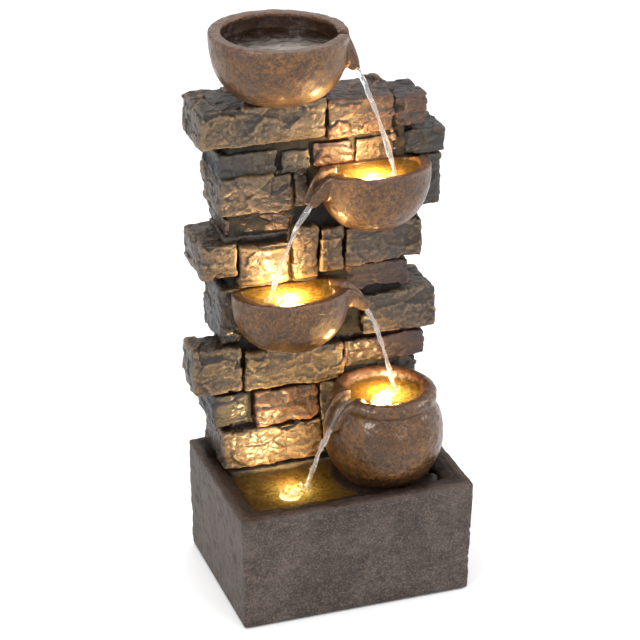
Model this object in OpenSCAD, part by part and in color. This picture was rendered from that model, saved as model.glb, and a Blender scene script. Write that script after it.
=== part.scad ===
// Tabletop water fountain: a cast basin, a hollow stacked-stone tower, three bowls and a pot that
// pour into each other, and the pump, riser tube, lamps and leads that it holds inside.
// Millimetres. +X is to the right seen from the front, the front faces -Y and +Z is up. The origin
// is the centre of the base pad's underside.

/* [Basin] */
// Width of the basin at its rim
basin_w = 168; // [164:1:210]
// Depth of the basin in front of the tower's nominal face
basin_front = 75.5; // [72:0.5:94]
// Height of the basin's rim above the table
basin_h = 85; // [80:1:110]
// Thickness of the basin's wall at the rim
basin_wall = 5.5; // [4:0.5:7]
// Thickness of the basin's floor
basin_floor = 7; // [5:0.5:9]
// How far each side leans in from the rim to the base
basin_lean = 1.6; // [0:0.1:3]
// Run of the sloped shoulder inside the left and right walls
shoulder_side = 10; // [6:0.5:10]
// Run of the sloped shoulder inside the front wall
shoulder_front = 14; // [8:0.5:16]
// Drop of the sloped shoulder below the rim
shoulder_drop = 5; // [3:0.5:15]
// Radius of the shelf's rounded left end, round the pot
shelf_r = 37; // [30:1:40]
// Gap between the pot's shelf and the right wall
shelf_gap = 4; // [2:0.5:8]
// Thickness of the foam pad under the base
pad_t = 2; // [1.5:0.5:4]
// Inset of the foam pad from the base's edge
pad_inset = 9; // [6:1:16]

/* [Tower] */
// Depth of the tower from its back to its nominal front face
tower_d = 45.8; // [45:0.2:60]
// Depth from the nominal front face to the mortar between the stones
mortar_set = 6; // [4:0.5:7]
// Left edge of the mortar wall
core_left = -66; // [-66:1:-63]
// Right edge of the mortar wall
core_right = 60; // [58:1:62]
// Height of the mortar wall above the basin's rim
core_top = 256; // [254:1:262]
// Thickness of the tower's side walls
side_wall = 10; // [8:0.5:11]
// Thickness of the tower's roof under the top bowl
roof_t = 10; // [8:0.5:12]
// Thickness of the front wall behind the mortar line
front_wall = 11; // [9:0.5:12]
// Thickness of the back panel
panel_t = 6.5; // [5:0.5:8]
// Chamfer on the stones' corners
stone_edge = 2.4; // [1:0.2:3]

/* [Bowls] */
// Outer radius of the top bowl at its rim
top_r = 46; // [40:0.5:50]
// Height of the top bowl
top_h = 48; // [44:0.5:54]
// Outer half-width of the upper bowl at its rim
upper_r = 39; // [34:0.5:42]
// Height of the upper bowl
upper_h = 45; // [43:0.5:50]
// Outer half-width of the lower bowl at its rim
lower_r = 41; // [36:0.5:44]
// Height of the lower bowl
lower_h = 44; // [43:0.5:50]
// Front-to-back share of the two wall bowls' width
wall_bowl_flat = 0.74; // [0.7:0.01:0.8]
// Width of the bowls' rims
rim_w = 8; // [6:0.5:9]
// Depth of the hollow in the top bowl
top_hollow = 30; // [24:0.5:31]
// Depth of the hollow in the two wall bowls and the pot
hollow = 18; // [16:0.5:22]
// Radius of the pot's belly
pot_r = 41.5; // [38:0.5:43]
// Height of the pot
pot_h = 68; // [64:0.5:72]
// Radius of the pot's lip, to the middle of its roll
lip_r = 30.4; // [29:0.1:33]
// Radius of the pot's rolled lip itself
lip_roll = 5.8; // [5:0.1:6.4]
// Width of the spouts
spout_w = 16; // [12:0.5:18]
// Wall of the spouts
spout_wall = 3.2; // [2.5:0.1:4]

/* [Lamps] */
// Radius of a lamp's housing
lamp_r = 8.8; // [7.4:0.1:10.6]
// Length of a lamp's housing below its seat
lamp_h = 14; // [12:0.5:14.5]
// Thickness of a lamp's wall
lamp_wall = 1.4; // [1:0.1:1.8]
// Height of a lamp's clear dome
dome_h = 5; // [3.5:0.5:6]
// Diameter of the lamps' and the pump's leads
lead_d = 2.4; // [1.8:0.1:2.6]

/* [Pump] */
// Outer diameter of the riser tube
tube_d = 12.4; // [11:0.1:14.9]
// Wall of the riser tube
tube_wall = 1.5; // [1:0.1:1.8]
// Length of the pump's motor casing
motor_l = 32; // [28:0.5:38]
// Width of the pump, across the tower's hollow
pump_w = 25; // [24:0.5:26]
// Height of the pump's casing
pump_h = 34; // [32:0.5:38]
// Height of the suction cups under the pump
cup_h = 5; // [4:0.5:6]
// Radius of the impeller's vanes
impeller_r = 10; // [8.5:0.1:10.4]
// Radius of the impeller's shaft
shaft_r = 1; // [0.8:0.1:1.4]

/* [Rear] */
// Width of the access opening in the back
access_w = 84; // [64:1:90]
// Height of the access opening in the back
access_h = 90; // [70:1:100]
// Thickness of the access cover's plate
cover_t = 3; // [2.5:0.5:3.5]
// Radius of the hole through the cable grommet
grommet_bore = 2.6; // [1.5:0.1:3]

/* [Hidden] */

$fn = 64;
bond = 0.2;              // bonding gap between castings
slack = 0.3;             // gap round a loose or lift-off piece
run = 0.05;              // radial clearance of a running fit
big = 400;               // longer than anything that is cut
profile_steps = 9;       // points along a bowl's curved wall
bowl_power = 2.6;        // fullness of a bowl's curve: 2 is an ellipse

stone_tan = [0.50, 0.42, 0.33];
stone_dark = [0.20, 0.19, 0.19];
clay = [0.55, 0.40, 0.26];
cement = [0.46, 0.43, 0.40];
black_plastic = [0.12, 0.12, 0.13];

// Basin and tower planes
base_z = pad_t / 2;                         // the pad sits half its thickness up in the base
floor_z = base_z + basin_floor;
basin_d = basin_front + tower_d + bond + basin_wall;
stand_z = floor_z + bond;                   // underside of what is bonded to the floor
tower_back = basin_d / 2 - basin_wall - bond;
face_y = tower_back - tower_d;              // nominal front face of the stones
mortar_y = face_y + mortar_set;
hollow_y = mortar_y + front_wall;           // front of the tower's hollow
hollow_back = tower_back - panel_t;
hollow_left = core_left + side_wall;
hollow_right = core_right - side_wall - 2;
roof_z = basin_h + core_top - roof_t;       // underside of the roof
chamber_top = basin_h - 15;                 // the pump chamber's ceiling step
foot_front = face_y - 3;                    // the tower's foot stands a little proud
foot_left = -68;
foot_right = 64;
foot_wall = 7;
foot_drop = 2.5;                            // the foot's top below the basin's rim

// Bowls: centre x, centre y, rim height
top_at = [-30, face_y + 6, basin_h + 312];
upper_at = [31, face_y - 12, basin_h + 218.5];
lower_at = [-28, face_y - 12, basin_h + 137];
pot_at = [34, face_y - 29, basin_h + 62];
// The basin's ledge is notched to this radius round the pot's foot
seat_r = 0.7 * pot_r;

// Lamps: x, y, height of the seat
lamp_out = 6.5;                             // sideways offset of a lead's way out
seal_t = 1.2;
flange_t = 1.6;
flange_r = lamp_r + 1.6;
back_wall = 1;                              // how far a wall bowl's inner back lies behind the face
lamp_y = face_y + back_wall - 1.6 - flange_r;
lamps = [
    [upper_at.x - 2, lamp_y, upper_at.z - hollow, -lamp_out],
    [lower_at.x - 1, lamp_y, lower_at.z - hollow, lamp_out],
    [pot_at.x, pot_at.y + 5, pot_at.z - hollow, -lamp_out],
    [-34, face_y - 28, basin_h - 16, lamp_out]
];
pocket_h = lamp_h + 6;                      // depth of a lamp's pocket
lead_drop = lamp_h + 3;                     // depth of a lead's way out below the seat
lead_hole_r = lead_d / 2 + 1.3;
board_t = 1.4;

// Pump, its axis along X
tube_x = -33;
tube_y = hollow_y + 7.5;
pump_y = tube_y;
pump_z = floor_z + cup_h + 1;
axis_z = pump_z + pump_h / 2;
volute_l = 16;
volute_x = tube_x - volute_l / 2;           // left face of the volute
motor_x = volute_x + volute_l;              // left face of the motor
outlet_l = 14;                              // the outlet's length above the casing
tube_bottom = pump_z + pump_h + 1;
nut_t = 4.6;
tube_top = roof_z - nut_t - 1;
barb_r = tube_d / 2 - tube_wall - 0.1;
nozzle_r = barb_r + 0.4;
nozzle_floor = top_at.z - top_hollow;
nozzle_flange = nozzle_r + 2.5;

// Rear opening
panel_gap = 0.2;
access_z = basin_h + 19;                    // bottom of the access opening
access_x = -(access_w / 2) + (hollow_left + hollow_right) / 2;
lap = 3.4;                                  // how far the cover laps over the panel
grommet_at = [hollow_right - 14, basin_h + 9];
grommet_r = 5;

// ---------------------------------------------------------------- helpers
// A block between two corners
module box(low, high) {
    translate(low) cube(high - low);
}

// A cylinder along X from x0 to x1 through (y, z)
module rod_x(x0, x1, y, z, r) {
    translate([x0, y, z]) rotate([0, 90, 0]) cylinder(r = r, h = x1 - x0);
}

// A cylinder along Y from y0 to y1 through (x, z)
module rod_y(x, y0, y1, z, r) {
    translate([x, y0, z]) rotate([-90, 0, 0]) cylinder(r = r, h = y1 - y0);
}

// A rectangle with its corners cut at 45 degrees
module cut_square(x0, y0, x1, y1, c) {
    polygon([
        [x0 + c, y0], [x1 - c, y0], [x1, y0 + c], [x1, y1 - c],
        [x1 - c, y1], [x0 + c, y1], [x0, y1 - c], [x0, y0 + c]
    ]);
}

// One stone: a slab from its front face back to y1, chamfered in plan and in elevation
module stone(x0, x1, y0, y1, z0, z1, c = stone_edge) {
    intersection() {
        translate([0, 0, z0]) linear_extrude(z1 - z0) cut_square(x0, y0, x1, y1, c * 1.5);
        translate([0, y1, 0]) rotate([90, 0, 0]) linear_extrude(y1 - y0) cut_square(x0, z0, x1, z1, c);
    }
}

// Radius of a full round wall at depth z below the rim
function wall_r(r, h, z) = r * pow(1 - pow(min(z / h, 1), bowl_power), 1 / bowl_power);

// Half of a bowl's section: rim radius r, curve depth h, cut flat at depth cut
function wall_points(r, h, cut) = concat(
    [[0, 0]],
    [for (i = [0 : profile_steps]) let (z = cut * pow(i / profile_steps, 0.8)) [wall_r(r, h, z), -z]],
    [[0, -cut]]
);

// A solid round body with its rim at z = 0
module bowl_body(r, h, cut) {
    rotate([0, 0, -90]) rotate_extrude() polygon(wall_points(r, h, cut));
}

// The hollow of a bowl, which runs a little past the rim
module bowl_hollow(r, cut) {
    bowl_body(r, cut * 1.12, cut);
    translate([0, 0, -0.01]) cylinder(r = r, h = 1);
}

// A spout that leaves a bowl in direction turn, from radius r0 at the rim, falling at angle fall
module on_spout(turn, r0, z0, fall) {
    rotate([0, 0, turn]) translate([r0, 0, z0]) rotate([0, fall, 0]) children();
}

module spout_body(length) {
    intersection() {
        rod_x(0, length, 0, 0, spout_w / 2);
        box([0, -spout_w, -spout_w], [length, spout_w, 3]);
    }
}

module spout_groove(length) {
    groove_r = spout_w / 2 - spout_wall;
    rod_x(-1, length + 1, 0, 0, groove_r);
    box([-1, -groove_r, 0], [length + 1, groove_r, spout_w]);
}

// ---------------------------------------------------------------- castings
// Basin: leaning outer walls, a deep pocket with a sloped shoulder, a shelf and a lamp post inside
module basin_outside() {
    half_w = basin_w / 2;
    half_d = basin_d / 2;
    rise = basin_h;
    intersection() {
        rotate([90, 0, 0]) linear_extrude(basin_d, center = true) polygon([
            [-half_w + basin_lean, base_z], [half_w - basin_lean, base_z],
            [half_w, rise], [-half_w, rise]
        ]);
        rotate([90, 0, 90]) linear_extrude(basin_w, center = true) polygon([
            [-half_d + basin_lean, base_z], [half_d - basin_lean, base_z],
            [half_d, rise], [-half_d, rise]
        ]);
    }
}

module basin_pocket() {
    x_low = basin_w / 2 - basin_wall - shoulder_side;
    y_low = -(basin_d / 2 - basin_wall - shoulder_front);
    y_back = basin_d / 2 - basin_wall;
    z_low = basin_h - shoulder_drop;
    box([-x_low, y_low, floor_z], [x_low, y_back, basin_h + 1]);
    intersection() {
        translate([0, y_back, 0]) rotate([90, 0, 0]) linear_extrude(basin_d) polygon([
            [-x_low, z_low], [x_low, z_low],
            [x_low + shoulder_side, basin_h], [x_low + shoulder_side, basin_h + 1],
            [-x_low - shoulder_side, basin_h + 1], [-x_low - shoulder_side, basin_h]
        ]);
        rotate([90, 0, 90]) linear_extrude(basin_w, center = true) polygon([
            [y_low, z_low], [y_back, z_low], [y_back, basin_h + 1],
            [y_low - shoulder_front, basin_h + 1], [y_low - shoulder_front, basin_h]
        ]);
    }
}

// The shelf that the pot stands on, between the front wall and the tower's foot
module pot_shelf() {
    right = basin_w / 2 - basin_wall - shoulder_side - shelf_gap;
    front = -(basin_d / 2 - basin_wall - shoulder_front) - 1;
    intersection() {
        box([pot_at.x - shelf_r, front, floor_z - 1], [right, foot_front - bond, pot_at.z - pot_h]);
        union() {
            translate([pot_at.x, pot_at.y, 0]) cylinder(r = shelf_r, h = big);
            box([pot_at.x, -big, 0], [big, big, big]);
        }
    }
}

module basin() {
    post_r = flange_r + 2.4;
    post = lamps[3];
    color(cement) difference() {
        union() {
            difference() {
                basin_outside();
                basin_pocket();
            }
            pot_shelf();
            translate([post.x, post.y, floor_z - 1]) cylinder(r = post_r, h = post.z - floor_z + 1);
        }
        lamp_pocket(post);
        pad_shape(slack, pad_t);
        translate([pot_at.x, pot_at.y, pot_at.z - pot_h]) cylinder(r = seat_r, h = big);
    }
}

// Foam pad under the base, let in by half its thickness
module pad_shape(grow, top) {
    x = basin_w / 2 - basin_lean - pad_inset + grow;
    y = basin_d / 2 - basin_lean - pad_inset + grow;
    linear_extrude(top) cut_square(-x, -y, x, y, 6);
}

module base_pad() {
    color([0.10, 0.10, 0.10]) pad_shape(0, pad_t);
}

// Stones, each [left, right, how far it stands proud of the face, bottom, top, set-in at the back],
// with bottom and top above the basin's rim
stones_tan = [
    [-85, 1, 0, 237, 264, 2], [3, 50, -2, 234, 262, 6], [22, 51, -3, 213, 232, 4],
    [-7, 20, -3, 216, 232, 4], [-73, -22, 0, 188, 215, 3], [-86, -60, 0, 144, 169, 1],
    [-60, -24, 1, 136, 166, 0], [-22, -4, 2, 134, 175, 0], [-3, 14, 2, 141, 172, 0],
    [16, 73, -2, 141, 168, 2], [28, 83, 0, 87, 117, 5], [-94, -60, 2, 60, 94, 24],
    [-57, 14, 2, 58, 86, 0], [-73, -1, 0, -2, 27, 2]
];
stones_dark = [
    [52, 74, -6, 235, 257, 8], [56, 90, -8, 214, 231, 4], [-73, -32, -4, 214, 231, 5],
    [-30, -9, -3, 215, 230, 0], [-20, -10, -4, 188, 215, 0], [48, 88, -10, 174, 212, 3],
    [-69, -22, -6, 173, 186, 2], [-69, -22, -5, 167, 172, 4], [18, 63, -4, 121, 139, 5],
    [-73, -59, -2, 95, 135, 4], [16, 76, -2, 65, 84, 4], [-80, -54, -2, 32, 57, 3],
    [-50, -3, 0, 29, 55, 0], [-1, 17, -2, 22, 56, 0], [18, 71, -6, 46, 63, 3]
];

module stone_rows(rows) {
    for (s = rows)
        stone(s[0], s[1], face_y - s[2], tower_back - s[5], basin_h + s[3], basin_h + s[4]);
}

module tower_mass() {
    box([core_left, mortar_y, stand_z], [core_right, tower_back, basin_h + core_top]);
    box([foot_left, foot_front, stand_z], [foot_right, tower_back, basin_h - foot_drop]);
    stone_rows(stones_tan);
    stone_rows(stones_dark);
}

// The hollow inside the tower: a narrow flue for the tube and leads over a deeper pump chamber
module tower_hollow() {
    left = foot_left + foot_wall;
    right = foot_right - foot_wall;
    front = foot_front + foot_wall;
    box([hollow_left, hollow_y, chamber_top - 1], [hollow_right, tower_back + 1, roof_z]);
    box([left, front, floor_z - 1], [right, tower_back + 1, chamber_top]);
}

module tower_shell() {
    slot_w = 3.5;
    slot_pitch = 9;
    slots = 5;
    slot_x = foot_left + 16;
    slot_low = floor_z + 4;
    slot_high = slot_low + 18;
    color(stone_tan) difference() {
        tower_mass();
        tower_hollow();
        translate(top_at) bowl_body(top_r + bond, top_h + bond, top_h + bond);
        wall_bowl_outside(upper_at, upper_r, upper_h, bond);
        wall_bowl_outside(lower_at, lower_r, lower_h, bond);
        pot_outside(bond);
        for (lamp = lamps)
            lamp_lead_hole(lamp);
        translate([tube_x, tube_y, roof_z - 1]) cylinder(r = nozzle_r + run, h = big);
        for (x = [slot_x : slot_pitch : slot_x + (slots - 1) * slot_pitch])
            box([x, foot_front - 1, slot_low], [x + slot_w, foot_front + foot_wall + 1, slot_high]);
    }
}

// Back panel, bonded between the tower's side walls
module back_panel() {
    x0 = hollow_left + panel_gap;
    x1 = hollow_right - panel_gap;
    right = access_x + access_w;
    top = access_z + access_h;
    color(stone_dark) difference() {
        box([x0, hollow_back, stand_z], [x1, tower_back, roof_z - panel_gap]);
        box([access_x, hollow_back - 1, access_z], [right, tower_back + 1, top]);
        box(
            [access_x - lap - slack, tower_back - cover_t, access_z - lap - slack],
            [right + lap + slack, tower_back + 1, top + lap + slack]
        );
        rod_y(grommet_at.x, hollow_back - 1, tower_back + 1, grommet_at.y, grommet_r);
    }
}

// Lift-off cover: a plate in the panel's rebate, with a locating rim and a finger notch
module rear_cover() {
    rim = 2;
    notch_r = 7;                            // the finger notch
    notch_out = 5;
    x0 = access_x + slack;
    x1 = access_x + access_w - slack;
    z0 = access_z + slack;
    z1 = access_z + access_h - slack;
    y0 = tower_back - cover_t;
    right = access_x + access_w;
    top = access_z + access_h;
    color(stone_dark) difference() {
        union() {
            box([access_x - lap, y0, access_z - lap], [right + lap, tower_back, top + lap]);
            box([x0, hollow_back + 0.5, z0], [x1, y0 + 0.1, z1]);
        }
        box([x0 + rim, hollow_back, z0 + rim], [x1 - rim, y0, z1 - rim]);
        translate([(x0 + x1) / 2, tower_back + notch_out, z1 - 2 * notch_r]) sphere(r = notch_r);
    }
}

module cable_grommet() {
    flange = 1.5;
    translate([grommet_at.x, tower_back, grommet_at.y]) rotate([90, 0, 0])
        color(black_plastic) rotate_extrude() polygon([
            [grommet_bore, -flange], [grommet_r + 2, -flange], [grommet_r + 2, 0], [grommet_r, 0],
            [grommet_r, panel_t], [grommet_r + 2, panel_t], [grommet_r + 2, panel_t + flange],
            [grommet_bore, panel_t + flange]
        ]);
}

// ---------------------------------------------------------------- bowls
spout_top = [-19, 33, -5, 46, 27];          // turn, start radius, start height, fall, length
spout_upper = [186, 27, -6, 40, 32];
spout_lower = [-8, 30, -5, 36, 30];
spout_pot = [192, 27, -4, 38, 27];

module spout_part(at, s) {
    translate(at) on_spout(s[0], s[1], s[2], s[3]) spout_body(s[4]);
}

module spout_cut(at, s) {
    translate(at) on_spout(s[0], s[1], s[2], s[3]) spout_groove(s[4]);
}

module bowl_top() {
    color(clay) difference() {
        union() {
            translate(top_at) bowl_body(top_r, top_h, top_h);
            spout_part(top_at, spout_top);
        }
        translate(top_at) bowl_hollow(top_r - rim_w, top_hollow);
        spout_cut(top_at, spout_top);
        translate([tube_x, tube_y, nozzle_floor]) cylinder(r = nozzle_flange + 0.4, h = 12);
        translate([tube_x, tube_y, 0]) cylinder(r = nozzle_r + run, h = big);
    }
}

// A bowl flattened front to back, with its back cut flat against the mortar
module wall_bowl_outside(at, r, h, grow) {
    intersection() {
        translate(at) scale([1, wall_bowl_flat, 1]) bowl_body(r + grow, h + grow, h + grow);
        box([-big, -big, 0], [big, mortar_y - bond + grow, big]);
    }
}

module wall_bowl(at, r, h, spout, lamp) {
    color(clay) difference() {
        union() {
            wall_bowl_outside(at, r, h, 0);
            intersection() {
                spout_part(at, spout);
                box([-big, -big, 0], [big, mortar_y - bond, at.z]);
            }
        }
        intersection() {
            translate(at) scale([1, wall_bowl_flat, 1]) bowl_hollow(r - rim_w, hollow);
            box([-big, -big, 0], [big, face_y + back_wall, big]);
        }
        spout_cut(at, spout);
        lamp_pocket(lamp);
    }
}

module bowl_upper() {
    wall_bowl(upper_at, upper_r, upper_h, spout_upper, lamps[0]);
}

module bowl_lower() {
    wall_bowl(lower_at, lower_r, lower_h, spout_lower, lamps[1]);
}

// Pot: an elliptical belly under a rolled lip
module pot_outside(grow) {
    belly_z = -35;
    belly_h = 43;
    top_z = -2 * lip_roll + 2;
    steps = 12;
    translate(pot_at) {
        rotate_extrude() polygon(concat(
            [[0, top_z]],
            [for (i = [0 : steps]) let (z = top_z + (-pot_h - grow - top_z) * i / steps)
                [grow + pot_r * sqrt(1 - pow((z - belly_z) / belly_h, 2)), z]],
            [[0, -pot_h - grow]]
        ));
        rotate_extrude() translate([lip_r, -lip_roll]) circle(r = lip_roll + grow, $fn = 32);
    }
}

module pot() {
    mouth = lip_r - lip_roll;
    color(clay) difference() {
        union() {
            pot_outside(0);
            translate(pot_at + [0, 0, -2 * lip_roll]) cylinder(r = lip_r, h = lip_roll);
            spout_part(pot_at, spout_pot);
        }
        translate(pot_at + [0, 0, -hollow]) cylinder(r = mouth, h = hollow + 1);
        spout_cut(pot_at, spout_pot);
        lamp_pocket(lamps[2]);
    }
}

// ---------------------------------------------------------------- lamps
// Pocket for a lamp in a casting's floor, and the way out for its lead
module lamp_pocket(lamp) {
    translate([lamp.x, lamp.y, lamp.z - pocket_h]) cylinder(r = lamp_r + bond, h = pocket_h + 1);
    lamp_lead_hole(lamp);
}

module lamp_lead_hole(lamp) {
    rod_y(lamp.x + lamp[3], lamp.y, hollow_y + 1, lamp.z - lead_drop, lead_hole_r);
}

module lamp_housing(lamp) {
    seat = seal_t;
    translate([lamp.x, lamp.y, lamp.z]) color(black_plastic) difference() {
        union() {
            translate([0, 0, -lamp_h]) cylinder(r = lamp_r, h = lamp_h + seat + flange_t);
            translate([0, 0, seat]) cylinder(r = flange_r, h = flange_t);
        }
        translate([0, 0, -lamp_h + 2 * lamp_wall]) cylinder(r = lamp_r - lamp_wall, h = lamp_h + 10);
        translate([0, 0, -lamp_h - 1]) cylinder(r = lead_d / 2 + 0.3, h = 10);
    }
}

module lamp_lens(lamp) {
    r = lamp_r - lamp_wall - 0.05;
    top = seal_t + flange_t;
    translate([lamp.x, lamp.y, lamp.z]) color([0.95, 0.93, 0.85]) rotate_extrude() polygon(concat(
        [[0, top - 2.2], [r, top - 2.2]],
        [for (a = [0 : 10 : 90]) [r * cos(a), top + dome_h * sin(a)]]
    ));
}

module lamp_board(lamp) {
    z = -lamp_h + 2 * lamp_wall;
    translate([lamp.x, lamp.y, lamp.z + z]) color([0.95, 0.85, 0.45]) {
        cylinder(r = lamp_r - lamp_wall - 0.1, h = board_t);
        translate([-2.5, -2.5, board_t]) cube([5, 5, 1.2]);
    }
}

module lamp_seal(lamp) {
    translate([lamp.x, lamp.y, lamp.z]) color([0.05, 0.05, 0.05]) rotate_extrude()
        translate([lamp_r + 0.3, 0]) square([1.1, seal_t]);
}

// ---------------------------------------------------------------- leads
joint_at = [hollow_right - 30, hollow_y + bond + 5, basin_h + 65];
joint_size = [30, 10, 16];
lead_y = joint_at.y;
joint_low = joint_at.z - joint_size.z / 2;
joint_high = joint_at.z + joint_size.z / 2;

// From under a lamp's board, down out of its housing, sideways in the pocket, then back to the flue
function lamp_start(lamp) = [
    [lamp.x, lamp.y, lamp.z - lamp_h + 2 * lamp_wall],
    [lamp.x, lamp.y, lamp.z - lamp_h + lamp_wall],
    [lamp.x, lamp.y, lamp.z - lamp_h],
    [lamp.x + lamp[3] * 0.4, lamp.y + 1, lamp.z - lead_drop],
    [lamp.x + lamp[3], lamp.y + 5, lamp.z - lead_drop],
    [lamp.x + lamp[3], lamp.y + 10, lamp.z - lead_drop]
];

route_upper = concat(lamp_start(lamps[0]), [
    [lamps[0].x + lamps[0][3], hollow_y - 1, lamps[0].z - lead_drop],
    [lamps[0].x + lamps[0][3] + 1, lead_y, lamps[0].z - lead_drop - 8],
    [joint_at.x + 6, lead_y, joint_high + 40],
    [joint_at.x + 6, lead_y, joint_high + 6],
    [joint_at.x + 6, lead_y, joint_high]
]);
route_lower = concat(lamp_start(lamps[1]), [
    [lamps[1].x + lamps[1][3], hollow_y - 1, lamps[1].z - lead_drop],
    [lamps[1].x + lamps[1][3] + 3, lead_y, lamps[1].z - lead_drop - 4],
    [joint_at.x - 12, lead_y, joint_high + 16],
    [joint_at.x - 6, lead_y, joint_high + 8],
    [joint_at.x - 6, lead_y, joint_high + 3],
    [joint_at.x - 6, lead_y, joint_high]
]);
route_pot = concat(lamp_start(lamps[2]), [
    [lamps[2].x + lamps[2][3], hollow_y - 1, lamps[2].z - lead_drop],
    [lamps[2].x + lamps[2][3], lead_y, lamps[2].z - lead_drop + 6],
    [joint_at.x + 10, lead_y, joint_low - 12],
    [joint_at.x + 10, lead_y, joint_low - 4],
    [joint_at.x + 10, lead_y, joint_low]
]);
lane_y = foot_front + foot_wall + 2;        // the gap between the foot's wall and the pump
route_basin = concat([for (i = [0 : 4]) lamp_start(lamps[3])[i]], [
    [lamps[3].x + lamps[3][3], foot_front - 2, lamps[3].z - lead_drop],
    [lamps[3].x + lamps[3][3], lane_y - 1, lamps[3].z - lead_drop + 1],
    [lamps[3].x + lamps[3][3] + 6, lane_y, lamps[3].z - lead_drop + 6],
    [joint_at.x - 24, lane_y + 3, chamber_top - 9],
    [joint_at.x - 13, lead_y - 2, chamber_top - 7],
    [joint_at.x - 10, lead_y, chamber_top + 12],
    [joint_at.x - 10, lead_y, joint_low - 20],
    [joint_at.x - 10, lead_y, joint_low - 5],
    [joint_at.x - 10, lead_y, joint_low]
]);
route_pump = [
    [motor_x + motor_l, lead_y, axis_z - 6],
    [motor_x + motor_l + 3, lead_y, axis_z - 6],
    [motor_x + motor_l + 7, lead_y, axis_z - 6],
    [motor_x + motor_l + 14, lead_y, axis_z + 4],
    [motor_x + motor_l + 14, lead_y, chamber_top - 6],
    [joint_at.x, lead_y, joint_low - 30],
    [joint_at.x, lead_y, joint_low - 6],
    [joint_at.x, lead_y, joint_low]
];

// Points on a smooth curve through a list of points
function at_end(p, i) = p[max(0, min(len(p) - 1, i))];
function smooth(p, n) = concat([for (i = [0 : len(p) - 2]) for (k = [0 : n - 1])
    let (t = k / n, a = at_end(p, i - 1), b = p[i], c = p[i + 1], d = at_end(p, i + 2))
    b + 0.5 * t * (c - a + t * (2 * a - 5 * b + 4 * c - d + t * (3 * (b - c) + d - a)))],
    [p[len(p) - 1]]);
function unit(v) = v / norm(v);

// A round lead swept along a route as one closed solid
module lead(route) {
    sides = 8;
    steps = 3;
    lean = [0.77, 0.53, -0.35];             // never parallel to a route
    p = smooth(route, steps);
    n = len(p);
    rings = [for (i = [0 : n - 1])
        let (t = unit(at_end(p, i + 1) - at_end(p, i - 1)), u = unit(cross(t, lean)), v = cross(t, u))
        for (k = [0 : sides - 1]) p[i] + lead_d / 2 * (cos(k * 360 / sides) * u + sin(k * 360 / sides) * v)];
    sidewalls = [for (i = [0 : n - 2]) for (k = [0 : sides - 1])
        let (a = i * sides + k, b = i * sides + (k + 1) % sides)
        for (f = [[a, a + sides, b], [b, a + sides, b + sides]]) f];
    ends = [[for (k = [0 : sides - 1]) k], [for (k = [sides - 1 : -1 : 0]) (n - 1) * sides + k]];
    color(black_plastic) polyhedron(rings, concat(sidewalls, ends));
}

module lead_joint() {
    color(black_plastic) translate(joint_at) cube(joint_size, center = true);
}

// ---------------------------------------------------------------- water line
module riser_tube() {
    translate([tube_x, tube_y, tube_bottom]) color([0.85, 0.90, 0.92]) difference() {
        cylinder(r = tube_d / 2, h = tube_top - tube_bottom);
        translate([0, 0, -1]) cylinder(r = tube_d / 2 - tube_wall, h = big);
    }
}

module top_nozzle() {
    bore = barb_r - 1.3;
    flange = nozzle_flange;
    barb_low = tube_top - 14;
    seat = nozzle_floor + seal_t;
    translate([tube_x, tube_y, 0]) color(black_plastic) rotate_extrude() polygon([
        [bore, barb_low], [barb_r, barb_low], [barb_r, tube_top + 0.4], [nozzle_r, tube_top + 0.4],
        [nozzle_r, seat], [flange, seat], [flange, seat + 1.8], [nozzle_r, seat + 3.2], [bore, seat + 3.2]
    ]);
}

module nozzle_nut() {
    translate([tube_x, tube_y, roof_z - nut_t]) color(black_plastic) difference() {
        cylinder(r = nozzle_r + 2, h = nut_t - 0.1, $fn = 6);
        translate([0, 0, -1]) cylinder(r = nozzle_r + run, h = big);
    }
}

module nozzle_seal() {
    translate([tube_x, tube_y, nozzle_floor]) color([0.05, 0.05, 0.05]) difference() {
        cylinder(r = nozzle_r + 2.3, h = seal_t);
        translate([0, 0, -1]) cylinder(r = nozzle_r + run, h = big);
    }
}

// ---------------------------------------------------------------- pump
casing_edge = 3;
well_r = impeller_r - 2.8;                  // the rotor's well in the motor
well_l = 24;
chamber_r = impeller_r + 1;
magnet_l = 20;
face_t = 3;                                 // thickness of the volute's face
bush_r = 3;
boss_l = 5;
boss_r = 6;

module casing(x0, x1) {
    translate([x0, pump_y, 0]) rotate([90, 0, 90]) linear_extrude(x1 - x0)
        cut_square(-pump_w / 2, pump_z, pump_w / 2, pump_z + pump_h, casing_edge);
}

module pump_motor() {
    color(black_plastic) difference() {
        casing(motor_x, motor_x + motor_l);
        rod_x(motor_x - 1, motor_x + well_l, pump_y, axis_z, well_r);
        rod_x(motor_x, motor_x + well_l + 2.5, pump_y, axis_z, bush_r);
    }
}

module pump_volute() {
    face_in = volute_x + face_t;
    hub_x = volute_x + 0.4;
    web = 0.8;                              // half the width of the web that holds the hub
    color(black_plastic) difference() {
        union() {
            casing(volute_x, motor_x);
            rod_x(volute_x - boss_l, volute_x + 1, pump_y, axis_z, boss_r);
            translate([tube_x, pump_y, pump_z + pump_h - 1]) cylinder(r = barb_r, h = outlet_l + 1);
        }
        rod_x(face_in, motor_x + 1, pump_y, axis_z, chamber_r);
        difference() {
            rod_x(volute_x - boss_l - 1, face_in + 1, pump_y, axis_z, boss_r - 1.4);
            rod_x(hub_x, face_in + 2, pump_y, axis_z, bush_r + 0.8);
            box([hub_x, pump_y - boss_r, axis_z - web], [face_in, pump_y + boss_r, axis_z + web]);
        }
        rod_x(hub_x - 1, face_in + 2.1, pump_y, axis_z, bush_r - 0.6);
        translate([tube_x, pump_y, axis_z]) cylinder(r = barb_r - 1.3, h = big);
    }
}

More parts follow.
